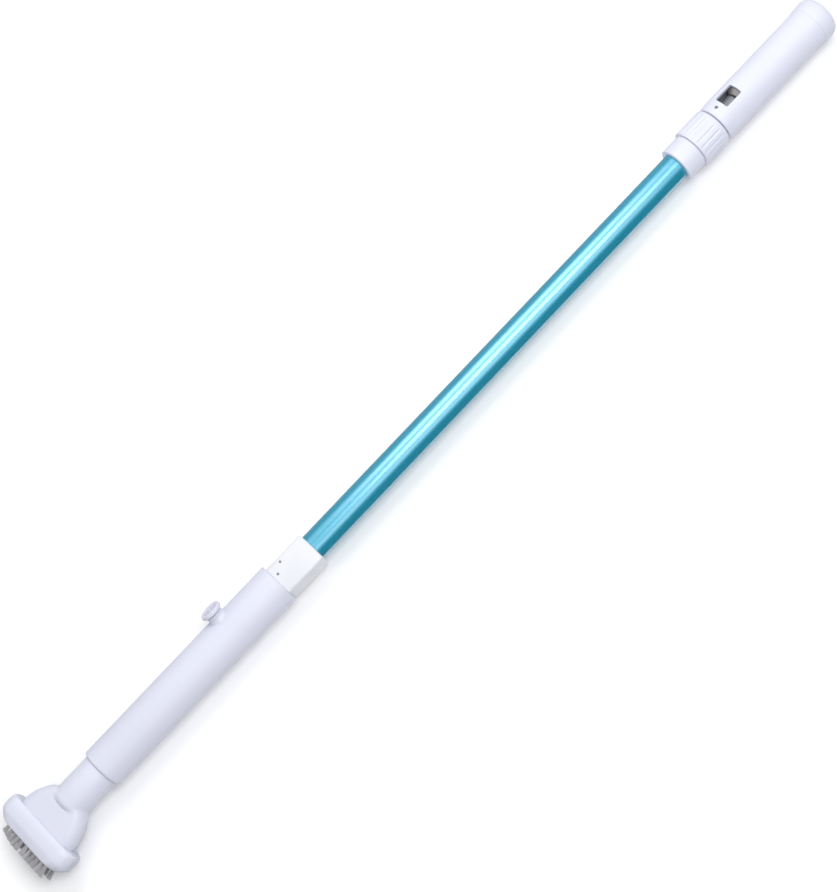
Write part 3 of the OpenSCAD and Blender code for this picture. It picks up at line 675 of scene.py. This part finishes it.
def make_hood():
    """The hood and its neck as one skin: outside from mouth to spigot, then back along the inside."""
    outer_corner = HOOD_HALF_THICKNESS - 1 * MM
    inner_corner = outer_corner - HOOD_WALL
    inner_half_thickness = HOOD_HALF_THICKNESS - HOOD_WALL
    blend_end = NECK_FULL_X + 8 * MM
    sleeve_x = NECK_FULL_X + 9 * MM
    sinking = 0.5
    rings = []
    edge = 0.5 * MM
    rings.append(head_ring(MOUTH_X, HOOD_HALF_WIDTH - edge, HOOD_HALF_THICKNESS - edge, outer_corner - edge))
    flare = [MOUTH_X + edge] + stations(FRAME_END - 2 * MM, NECK_BASE_X - 1 * MM, 16)
    for x in flare:
        rings.append(head_ring(x, hood_half_width(x), HOOD_HALF_THICKNESS, outer_corner))
    for x in stations(NECK_BASE_X - 0.6 * MM, blend_end, 36):
        sunk = max(x - NECK_FULL_X, 0) * sinking
        rings.append(head_ring(x, hood_half_width(x) - sunk, HOOD_HALF_THICKNESS - sunk,
                               outer_corner - sunk, neck_radius_at(x, NECK_RADIUS, 10 * MM), 2.2 * MM))
    neck_end = CANISTER_X - GAP
    for x, radius in ((sleeve_x, NECK_RADIUS), (neck_end - 0.6 * MM, NECK_RADIUS),
                      (neck_end - 0.2 * MM, NECK_RADIUS - 0.15 * MM), (neck_end, NECK_RADIUS - 0.5 * MM),
                      (neck_end, SPIGOT_RADIUS), (NECK_SEAL_X - FIT, SPIGOT_RADIUS),
                      (NECK_SEAL_X - FIT, SPIGOT_RADIUS - SEAL_GROOVE),
                      (NECK_SEAL_END + FIT, SPIGOT_RADIUS - SEAL_GROOVE),
                      (NECK_SEAL_END + FIT, SPIGOT_RADIUS), (SPIGOT_END - edge, SPIGOT_RADIUS),
                      (SPIGOT_END, SPIGOT_RADIUS - edge), (SPIGOT_END, NECK_BORE + edge),
                      (SPIGOT_END - edge, NECK_BORE), (sleeve_x, NECK_BORE)):
        rings.append(round_ring(x, radius))
    for x in stations(blend_end, NECK_BASE_X - 2 * MM, 20):
        sunk = max(x - NECK_FULL_X, 0) * sinking
        rings.append(head_ring(x, hood_half_width(x) - HOOD_WALL - sunk, inner_half_thickness - sunk,
                               inner_corner - sunk, neck_radius_at(x, NECK_BORE, 8 * MM), 2 * MM))
    for x in stations(NECK_BASE_X - 3 * MM, MOUTH_X, 12):
        rings.append(head_ring(x, hood_half_width(x) - HOOD_WALL, inner_half_thickness, inner_corner))
    finish_piece(closed_tube("hood_shell", rings), "white_plastic", "nozzle", "nozzle_hood")


def make_frame():
    """The clip-on frame: a bevelled nose toward the bristles and a soft ramp down to the hood."""
    low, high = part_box("brush_frame")
    half_width = (high.y - low.y) / 2
    half_thickness = (high.z - low.z) / 2
    corner = 12 * MM
    # Millimetres behind the front, and how far the sides and the flat faces stand in there
    outer = ((0.0, 11.4, 5.6), (0.25, 10.6, 4.9), (1.0, 8.4, 4.2), (2.2, 6.3, 3.6), (3.6, 4.5, 2.9),
             (5.2, 3.0, 2.1), (6.8, 1.8, 1.3), (8.2, 1.0, 0.6), (9.6, 0.45, 0.2), (11.0, 0.15, 0.05),
             (13.0, 0.0, 0.0), (16.0, 0.0, 0.0), (19.0, 0.0, 0.35), (21.0, 0.1, 0.8), (22.6, 0.3, 1.3),
             (23.8, 0.7, 1.8), (24.6, 1.2, 2.2), (25.0, 1.7, 2.6))
    rings = [head_ring(low.x + along * MM, half_width - side * MM, half_thickness - top * MM, corner)
             for along, side, top in outer]
    socket_width = HOOD_HALF_WIDTH + GAP / 2
    socket_thickness = HOOD_HALF_THICKNESS + GAP / 2
    socket_corner = HOOD_HALF_THICKNESS - 1 * MM
    socket_floor = low.x + 6 * MM
    slot_width = 30 * MM
    slot_thickness = 6.5 * MM
    slot_corner = 6 * MM
    edge = 0.5 * MM
    rings.append(head_ring(high.x, socket_width + edge, socket_thickness + edge, socket_corner))
    rings.append(head_ring(high.x - edge, socket_width, socket_thickness, socket_corner))
    rings.append(head_ring(socket_floor, socket_width, socket_thickness, socket_corner))
    rings.append(head_ring(socket_floor, slot_width + edge, slot_thickness + edge, slot_corner))
    rings.append(head_ring(socket_floor - edge, slot_width, slot_thickness, slot_corner))
    rings.append(head_ring(low.x + edge, slot_width, slot_thickness, slot_corner))
    rings.append(head_ring(low.x, slot_width + edge, slot_thickness + edge, slot_corner))
    finish_piece(closed_tube("bristle_frame", rings), "white_plastic", "brush", "brush_frame")


# ---------------------------------------------------------------- bristles
TUFT_RADIUS = 2.1 * MM
LOWER_ROW_SHIFT = -1.5 * MM
TUFT_ROW = 9.6 * MM
FIRST_BANK = (25.2, 20.1, 15.0, 10.0, 4.9)
SECOND_BANK = (-1.8, -7.4, -12.8, -18.2, -23.6, -28.6)
TRIM_START = 4 * MM
TRIM_END = 30.5 * MM
TRIM_DEPTH = 6 * MM
FILAMENTS = 46
FILAMENT_RADIUS = 0.22 * MM
GOLDEN_ANGLE = math.pi * (3 - math.sqrt(5))
FIRST_LEAN = -0.1 * MM
SECOND_LEAN = -1.5 * MM
ADDED_LEAN = 1.9 * MM
ROOT_DEPTH = 1 * MM
ROOT_ACROSS = 0.64
ROOT_AWAY = 0.9
PARTING = (1.15, 1.35)
LEAN_SPREAD = (0.85, 1.1)
CUT_SPREAD = (0.02, 0.5)
STRAY = 0.1 * MM
STRAY_AWAY = 0.15 * MM
BOW = 0.06 * MM


def tuft_places():
    """Middles of the tufts across the frame, with how far each leans toward +Y over its length."""
    places = []
    for middle in FIRST_BANK:
        places.append((middle * MM, FIRST_LEAN))
    for i, middle in enumerate(SECOND_BANK):
        share = i / (len(SECOND_BANK) - 1)
        places.append((middle * MM, SECOND_LEAN - ADDED_LEAN * share ** 3))
    return places


def trim(y):
    """How much shorter the bristles are toward the +Y end of the brush, where they are cut to a curve."""
    share = max(0.0, (y - TRIM_START) / (TRIM_END - TRIM_START))
    return TRIM_DEPTH * share ** 2


def filament(root, tip, bow):
    """Rings of a thin curved filament from root to tip, rounded off at the tip."""
    sides = 6
    rings = []
    for share, thickness in ((0, 1), (0.35, 1), (0.7, 0.97), (0.96, 0.9), (1, 0.55)):
        middle = root.lerp(tip, share) + bow * (share * (1 - share) * 4)
        rings.append([(middle.x, middle.y + FILAMENT_RADIUS * thickness * math.cos(math.tau * k / sides),
                       middle.z + FILAMENT_RADIUS * thickness * math.sin(math.tau * k / sides))
                      for k in range(sides)])
    return rings


def make_bristles(name, node, side):
    """A row of tufts, each a bundle of separate filaments that part toward their tips."""
    points = []
    faces = []
    root_x = span(node)[1] - ROOT_DEPTH
    width_limit = radius_of("brush_frame") - FILAMENT_RADIUS - FIT
    shift = LOWER_ROW_SHIFT if side < 0 else 0
    for middle_y, lean in tuft_places():
        middle_y += shift
        for k in range(FILAMENTS):
            turn = GOLDEN_ANGLE * k + random.uniform(-0.2, 0.2)
            out = TUFT_RADIUS * math.sqrt((k + 0.5) / FILAMENTS)
            dy = out * math.cos(turn)
            dz = out * math.sin(turn)
            part = random.uniform(*PARTING)
            tip_y = middle_y + lean * random.uniform(*LEAN_SPREAD) + dy * part + random.gauss(0, STRAY)
            tip_z = AXIS_Z + side * TUFT_ROW + dz * part + random.gauss(0, STRAY_AWAY)
            tip_x = TIPS_X + trim(tip_y) + random.uniform(*CUT_SPREAD) * MM
            root = Vector((root_x, middle_y + dy * ROOT_ACROSS, AXIS_Z + side * TUFT_ROW + dz * ROOT_AWAY))
            tip = Vector((tip_x, max(min(tip_y, width_limit), -width_limit), tip_z))
            bow = Vector((0, random.gauss(0, BOW) - lean * 0.1, random.gauss(0, BOW)))
            rings = filament(root, tip, bow)
            sides = len(rings[0])
            first = len(points)
            points.extend(p for ring in rings for p in ring)
            numbers = [list(range(first + r * sides, first + (r + 1) * sides)) for r in range(len(rings))]
            faces.extend(joined_rings(numbers, closed=False))
            faces.append(numbers[0][::-1])
            faces.append(numbers[-1])
    finish_piece(new_piece(name, points, faces), "bristle_nylon", "brush", node)


# ---------------------------------------------------------------- canister and drain
def drain_place():
    """Station of the drain port and its angle from straight up toward +Y."""
    low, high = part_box("drain_gasket")
    middle = (low + high) / 2
    return middle.x, math.atan2(middle.y, middle.z - AXIS_Z)


def make_canister():
    """The canister: a slightly tapered shell with a ledge for the basket, the drain boss and its bore."""
    bore_low = CANISTER_LOW - CANISTER_WALL
    bore_high = CANISTER_HIGH - CANISTER_WALL
    socket = SPIGOT_RADIUS + 2 * FIT
    ledge_x = LEDGE_END - 4 * MM
    outline = filleted([
        (CANISTER_X, CANISTER_LOW, 3.2 * MM), (BLOCK_X, CANISTER_HIGH, 0.5 * MM),
        (BLOCK_X, bore_high, 0.4 * MM), (LEDGE_END + 3 * MM, bore_low, 1.5 * MM),
        (LEDGE_END, LEDGE_RADIUS + 1 * MM, 0.4 * MM), (LEDGE_END, LEDGE_RADIUS, 0.3 * MM),
        (ledge_x, LEDGE_RADIUS, 0), (ledge_x, socket, 0), (CANISTER_X, socket, 0.4 * MM)], steps=6)
    shell = lathe("canister_shell", outline)
    x, angle = drain_place()
    foot = CANISTER_LOW - 1.2 * MM
    boss = radial_lathe("boss", x, angle, filleted([
        (0, foot - 1.5 * MM, 0), (DRAIN_BOSS + 2.2 * MM, foot - 1.5 * MM, 0),
        (DRAIN_BOSS + 1.8 * MM, foot, 0), (DRAIN_BOSS, foot + 2.6 * MM, 1.6 * MM),
        (DRAIN_BOSS, DRAIN_BOSS_TOP, 0.4 * MM), (0, DRAIN_BOSS_TOP, 0)]))
    cut_or_join(shell, boss, "UNION")
    bore_start = 5 * MM
    bore_end = DRAIN_BOSS_TOP + 2 * MM
    bore = radial_lathe("bore", x, angle, [
        (0, bore_start), (DRAIN_BORE, bore_start), (DRAIN_BORE, bore_end), (0, bore_end)])
    cut_or_join(shell, bore, "DIFFERENCE")
    finish_piece(shell, "white_plastic", "wand", "canister")


def make_drain_cap():
    """A coin-slotted screw plug: a thin disc with a raised rim and two short slots."""
    x, angle = drain_place()
    flange = DRAIN_BOSS_TOP + 1.2 * MM + 2 * FIT
    top = flange + 3.8 * MM
    face = top - 0.5 * MM
    rim = DRAIN_CAP_RADIUS - 0.3 * MM
    plug = 6.4 * MM
    plug_end = DRAIN_BOSS_TOP - 6.8 * MM
    slot_length = 6.2 * MM
    slot_width = 3 * MM
    outline = filleted([
        (0, plug_end, 0), (plug, plug_end, 0.8 * MM), (plug, flange, 0), (rim, flange, 0.6 * MM),
        (rim, top, 1.3 * MM), (rim - 2.3 * MM, top, 0.4 * MM), (rim - 2.7 * MM, face, 0.4 * MM),
        (0, face, 0)], steps=5)
    cap = radial_lathe("drain_plug_cap", x, angle, outline, segments=96)
    for side in (-1, 1):
        slot = radial_block("slot", x + (side * 4.3 - 3.3) * MM, angle, slot_length, slot_width, 0.6 * MM,
                            top - 3.8 * MM, top + 2 * MM)
        cut_or_join(cap, slot, "DIFFERENCE")
    finish_piece(cap, "white_plastic", "drain_plug", "drain_cap")


def make_basket():
    """The filter basket: a slotted tube with a flange and a closed end."""
    start, end = span("filter_basket")
    outer = LEDGE_RADIUS - 2 * FIT
    wall = 1.4 * MM
    flange = radius_of("filter_basket")
    outline = filleted([
        (start, flange, 0.3 * MM), (start + 2 * MM, flange, 0.3 * MM), (start + 2 * MM, outer, 0),
        (end, outer, 0.9 * MM), (end, 0, 0), (end - wall, 0, 0), (end - wall, outer - wall, 0.5 * MM),
        (start, outer - wall, 0.3 * MM)])
    basket = lathe("basket_body", outline, segments=96)
    rows = 6
    around = 8
    first_slot = 8
    pitch = 28
    slot_length = 22 * MM
    slot_width = 8 * MM
    slot_corner = 2.5 * MM
    reach = 30 * MM
    for row in range(rows):
        for i in range(around // 2):
            cutter = radial_block("cutter", start + (first_slot + pitch * row) * MM, math.tau * i / around,
                                  slot_length, slot_width, slot_corner, -reach, reach)
            cut_or_join(basket, cutter, "DIFFERENCE")
    finish_piece(basket, "ivory_plastic", "wand", "filter_basket")


# ---------------------------------------------------------------- valve block
def block_ring(x, inset, corner):
    """Ring of the square block, which sits off the axis and is turned a little."""
    half = BLOCK_HALF - inset
    points = []
    per_corner = ROUND_STEPS // 4
    for quarter in range(4):
        for i in range(per_corner):
            turn = math.radians(90) * (quarter + i / (per_corner - 1))
            side_across = 1 if quarter in (0, 3) else -1
            side_away = 1 if quarter < 2 else -1
            points.append((0, side_across * (half - corner) + corner * math.cos(turn) - BLOCK_OFFSET,
                           side_away * (half - corner) + corner * math.sin(turn)))
    return turned_toward(BLOCK_ANGLE, x, points)


def block_round_ring(x, radius):
    """A circle whose points face those of the block's own rings."""
    per_corner = ROUND_STEPS // 4
    points = []
    for quarter in range(4):
        for i in range(per_corner):
            turn = math.radians(90) * (quarter - 0.5 + (i + 0.5) / per_corner) + math.radians(45)
            points.append((0, radius * math.cos(turn), radius * math.sin(turn)))
    return turned_toward(BLOCK_ANGLE, x, points)


def make_block():
    """The valve block: its round plug, the square body, and the bores for the tube and the valve seat."""
    plug_start = span("valve_block")[0]
    seat_x = BLOCK_X + 2 * MM
    seat_bore = 10 * MM
    corner = 3 * MM
    edge = 0.5 * MM
    rings = [block_round_ring(plug_start, BLOCK_PLUG - edge), block_round_ring(plug_start + edge, BLOCK_PLUG)]
    for x, radius in ((BLOCK_SEAL_X - FIT, BLOCK_PLUG), (BLOCK_SEAL_X - FIT, BLOCK_PLUG - SEAL_GROOVE),
                      (BLOCK_SEAL_END + FIT, BLOCK_PLUG - SEAL_GROOVE), (BLOCK_SEAL_END + FIT, BLOCK_PLUG),
                      (BLOCK_X, BLOCK_PLUG)):
        rings.append(block_round_ring(x, radius))
    rings.append(block_ring(BLOCK_X, 2.8 * MM, corner))
    for along, inset in ((0.0, 0.5), (0.15, 0.15), (0.5, 0.0)):
        rings.append(block_ring(BLOCK_X + along * MM, inset * MM, corner))
    for back, inset in ((2.2, 0.0), (1.3, 0.2), (0.6, 0.6), (0.15, 1.2), (0.0, 1.9)):
        rings.append(block_ring(BLOCK_END - back * MM, inset * MM, corner))
    seat = TUBE_RADIUS + FIT
    groove = seat + 1.15 * MM
    groove_end = TUBE_SEAL_X + 2.4 * MM
    for x, radius in ((BLOCK_END, seat + edge), (BLOCK_END - edge, seat), (groove_end, seat),
                      (groove_end, groove), (TUBE_SEAL_X, groove), (TUBE_SEAL_X, seat), (TUBE_SEAT_X, seat),
                      (TUBE_SEAT_X, CHAMBER_RADIUS), (seat_x, CHAMBER_RADIUS), (seat_x, seat_bore),
                      (plug_start + edge, seat_bore), (plug_start, seat_bore + edge)):
        rings.append(block_round_ring(x, radius))
    block = closed_tube("block_body", rings)
    for along, across in BLOCK_SCREWS:
        cut_or_join(block, screw_hole(BLOCK_X + along, across), "DIFFERENCE")
    finish_piece(block, "block_plastic", "wand", "valve_block")


def screw_hole(x, across):
    """A counterbored hole into the block's upper face."""
    shank = 0.95 * MM
    head = 1.4 * MM
    floor = BLOCK_HALF - 2.6 * MM
    step = BLOCK_HALF - 1 * MM
    top = BLOCK_HALF + 1 * MM
    outline = [(0, floor), (shank, floor), (shank, step), (head, step), (head, top), (0, top)]
    return radial_lathe("hole", x, BLOCK_ANGLE, outline, segments=32, across=across)


# ---------------------------------------------------------------- tubes and twist lock
def make_tubes():
    """The blue outer tube and the grey tube that slides in it."""
    start, end = span("outer_tube")
    edge = 0.3 * MM
    tube = lathe("blue_tube", filleted([
        (start, TUBE_BORE, edge), (start, TUBE_RADIUS, edge), (end, TUBE_RADIUS, edge),
        (end, TUBE_BORE, edge)]), segments=192)
    finish_piece(tube, "blue_anodised", "wand", "outer_tube")
    start, end = span("inner_tube")
    bore = INNER_TUBE_RADIUS - 1.1 * MM
    rod = lathe("inner_rod", filleted([
        (start, bore, edge), (start, INNER_TUBE_RADIUS, edge), (end, INNER_TUBE_RADIUS, edge),
        (end, bore, edge)]), segments=128)
    finish_piece(rod, "grey_aluminium", "pump_handle", "inner_tube")


def make_collar():
    """The collar on the end of the blue tube, with the spigot and the cone that squeeze the collet."""
    nut_face = NUT_X - GAP
    spigot_end = span("lock_collar")[1]
    spigot = 17.2 * MM
    tube_end = span("outer_tube")[1]
    cone_x = nut_face + 8 * MM
    bore = 12.1 * MM
    seat_end = tube_end + 1.5 * MM
    seat = TUBE_RADIUS + FIT
    outline = filleted([
        (COLLAR_X, seat, 0.5 * MM), (COLLAR_X, COLLAR_RADIUS, 1.5 * MM), (nut_face, COLLAR_RADIUS, 0.7 * MM),
        (nut_face, spigot, 0), (spigot_end, spigot, 0.4 * MM), (spigot_end, 15.4 * MM, 0.3 * MM),
        (cone_x, 12.9 * MM, 0), (cone_x, bore, 0), (seat_end, bore, 0), (seat_end, seat, 0)])
    finish_piece(lathe("collar_ring", outline), "white_plastic", "wand", "lock_collar")


RIB_POINTS = 12


def nut_ring(x, radius, depth):
    """One ring of the lock nut, with shallow rounded flutes of the given depth."""
    points = []
    count = NUT_RIBS * RIB_POINTS
    for i in range(count):
        turn = math.tau * i / count
        share = abs((i / RIB_POINTS) % 1 - 0.5) * 2
        flute = 1 - min(1.0, (1 - share) / 0.5)
        r = radius - depth * math.sin(flute * math.pi / 2) ** 2
        points.append((x, r * math.sin(turn), AXIS_Z + r * math.cos(turn)))
    return points


def make_nut():
    """The twist nut: fluted between two plain rims, wide inside over the collet, narrow behind the washer."""
    rear_bore = INNER_TUBE_RADIUS + GAP
    front_bore = 17.35 * MM
    depth = 0.8 * MM
    washer_end = span("nut_washer")[1] + FIT
    # Millimetres from the near end, how far the rim stands in there, and the share of the flutes' depth
    front = ((0.0, 1.1, 0.0), (0.15, 0.55, 0.0), (0.5, 0.15, 0.0), (1.1, 0.0, 0.0), (2.0, 0.0, 0.0),
             (2.8, 0.0, 0.35), (3.6, 0.0, 0.8), (4.6, 0.0, 1.0))
    rear = ((7.4, 0.0, 1.0), (6.2, 0.0, 0.85), (5.2, 0.0, 0.4), (4.4, 0.0, 0.0), (2.2, 0.05, 0.0),
            (1.0, 0.4, 0.0), (0.4, 0.8, 0.0), (0.0, 1.4, 0.0))
    rings = [nut_ring(NUT_X + a * MM, NUT_RADIUS - b * MM, depth * c) for a, b, c in front]
    rings += [nut_ring(NUT_END - a * MM, NUT_RADIUS - b * MM, depth * c) for a, b, c in rear]
    edge = 0.4 * MM
    for x, radius in ((NUT_END, rear_bore + edge), (NUT_END - edge, rear_bore), (washer_end, rear_bore),
                      (washer_end, front_bore), (NUT_X + edge, front_bore), (NUT_X, front_bore + edge)):
        rings.append(nut_ring(x, radius, 0))
    finish_piece(closed_tube("ribbed_nut", rings), "white_plastic", "lock_nut", "lock_nut")


# ---------------------------------------------------------------- handle
def make_grip():
    """The handle's shell: a rounded nose, a flare to the cap's seam, the outlet port and two screw holes."""
    nose_edge = 1.2 * MM
    nose_drop = 1.1 * MM
    steps = 12
    edge_steps = 4
    bore = INNER_TUBE_RADIUS + FIT
    edge = 0.3 * MM
    outline = [(GRIP_X + edge, bore), (GRIP_X, bore + edge), (GRIP_X, GRIP_RADIUS - nose_drop - nose_edge)]
    for i in range(1, edge_steps + 1):
        turn = math.radians(90) * i / edge_steps
        outline.append((GRIP_X + nose_edge * (1 - math.cos(turn)),
                        GRIP_RADIUS - nose_drop - nose_edge * (1 - math.sin(turn))))
    for i in range(1, steps + 1):
        share = i / steps
        outline.append((GRIP_X + nose_edge + (GRIP_NOSE - nose_edge) * share,
                        GRIP_RADIUS - nose_drop * (1 - share) ** 2))
    outline += filleted([(GRIP_END - GRIP_FLARE, GRIP_RADIUS, 6 * MM), (GRIP_END, SEAM_RADIUS, edge),
                         (GRIP_END, GRIP_BORE, edge), (GRIP_X + GRIP_HUB, GRIP_BORE, 0.8 * MM),
                         (GRIP_X + GRIP_HUB, bore, 0)], steps=8)
    grip = lathe("handle_shell", outline, segments=192)
    port = radial_block("port", OUTLET_X, OUTLET_ANGLE, OUTLET_LENGTH, OUTLET_WIDTH, 2.2 * MM,
                        4 * MM, 40 * MM)
    cut_or_join(grip, port, "DIFFERENCE")
    shank = 1.15 * MM
    head = 1.95 * MM
    floor = 8 * MM
    step = GRIP_RADIUS - 1.4 * MM
    top = GRIP_RADIUS + 1 * MM
    for side in (0, math.pi):
        hole = radial_lathe("hole", SCREW_X, OUTLET_ANGLE + side, [
            (0, floor), (shank, floor), (shank, step), (head, step), (head, top), (0, top)], segments=32)
        cut_or_join(grip, hole, "DIFFERENCE")
    finish_piece(grip, "white_plastic", "pump_handle", "handle_grip")


def make_outlet():
    """The sloped plug that turns the water out through the port."""
    start, end = span("outlet_plug")
    outer = GRIP_BORE - FIT
    bore = 16 * MM
    slope_end = start + 6 * MM
    wall_end = start + 8 * MM
    outline = filleted([
        (start, 0, 0), (start, INNER_TUBE_RADIUS, 1 * MM), (slope_end, outer, 0.6 * MM),
        (end, outer, 0.4 * MM), (end, bore, 0.4 * MM), (wall_end, bore, 0.4 * MM), (wall_end, 0, 0)])
    finish_piece(lathe("outlet_cone", outline, segments=96), "ivory_plastic", "pump_handle", "outlet_plug")


def make_end_cap():
    """The domed cap: its skirt inside the grip, the seam ring, the rounded shoulder and the dome."""
    start = span("end_cap")[0]
    skirt = GRIP_BORE - FIT
    seam_x = GRIP_END + FIT
    bore = 16 * MM
    rounding = 9 * MM
    dome = 2 * MM
    steps = 10
    inside_x = CAP_END - 6 * MM
    outline = [(start, bore), (start, skirt - 0.4 * MM), (start + 0.4 * MM, skirt), (seam_x, skirt),
               (seam_x, SEAM_RADIUS - 0.3 * MM), (seam_x + 0.2 * MM, SEAM_RADIUS - 0.05 * MM),
               (seam_x + 0.6 * MM, SEAM_RADIUS + 0.05 * MM), (seam_x + 3 * MM, CAP_RADIUS - 0.2 * MM),
               (seam_x + 6 * MM, CAP_RADIUS)]
    for i in range(steps + 1):
        turn = math.radians(90) * i / steps
        outline.append((CAP_END - dome - rounding + rounding * math.sin(turn),
                        CAP_RADIUS - rounding + rounding * math.cos(turn)))
    for i in range(1, steps + 1):
        share = i / steps
        outline.append((CAP_END - dome * (1 - share) ** 2, (CAP_RADIUS - rounding) * (1 - share)))
    outline.append((inside_x, 0))
    outline.append((inside_x, bore))
    finish_piece(lathe("domed_cap", outline), "white_plastic", "pump_handle", "end_cap")


def screw_head(name, x, angle, across, radius, shank, low, top):
    """A pan-head screw with a cross recess."""
    under_head = top - 0.75 * MM
    outline = filleted([
        (0, low, 0), (shank, low, 0.2 * MM), (shank, under_head, 0), (radius, under_head, 0.1 * MM),
        (radius, top - 0.1 * MM, 0.35 * MM), (0, top, 0)])
    screw = radial_lathe(name, x, angle, outline, segments=32, across=across)
    for length, width in ((1.3 * radius, 0.3 * radius), (0.3 * radius, 1.3 * radius)):
        cross = [(a * length / 2, across + b * width / 2, c) for c in (top - 0.35 * MM, top + 1 * MM)
                 for a, b in ((-1, -1), (1, -1), (1, 1), (-1, 1))]
        faces = [[3, 2, 1, 0], [4, 5, 6, 7], [0, 1, 5, 4], [1, 2, 6, 5], [2, 3, 7, 6], [3, 0, 4, 7]]
        cut_or_join(screw, new_piece("cross", turned_toward(angle, x, cross), faces), "DIFFERENCE")
    return screw


def make_screws():
    """The two screws of the block's face, and one on each side of the handle."""
    for i, (along, across) in enumerate(BLOCK_SCREWS):
        screw = screw_head(f"block_screw_{i + 1}", BLOCK_X + along, BLOCK_ANGLE, across, 1.3 * MM, 0.85 * MM,
                           BLOCK_HALF - 2.5 * MM, BLOCK_HALF - 0.2 * MM)
        finish_piece(screw, "steel", "wand", "block_screws")
    for i, side in enumerate((0, math.pi)):
        screw = screw_head(f"handle_screw_{i + 1}", SCREW_X, OUTLET_ANGLE + side, 0, 1.85 * MM, 1.05 * MM,
                           INNER_TUBE_RADIUS - 2 * MM, GRIP_RADIUS - 0.4 * MM)
        finish_piece(screw, "steel", "pump_handle", "handle_screws")


# ---------------------------------------------------------------- scene
make_camera()
make_light()
make_floor()
reflector("shade_card", -1, 0.02)
reflector("side_card", 1, 0.25)
finish_carried_nodes()
make_hood()
make_frame()
make_bristles("bristles_upper", "front_tufts", 1)
make_bristles("bristles_lower", "back_tufts", -1)
make_canister()
make_drain_cap()
make_basket()
make_block()
make_tubes()
make_collar()
make_nut()
make_grip()
make_outlet()
make_end_cap()
make_screws()

bpy.context.scene.view_settings.view_transform = "Standard"
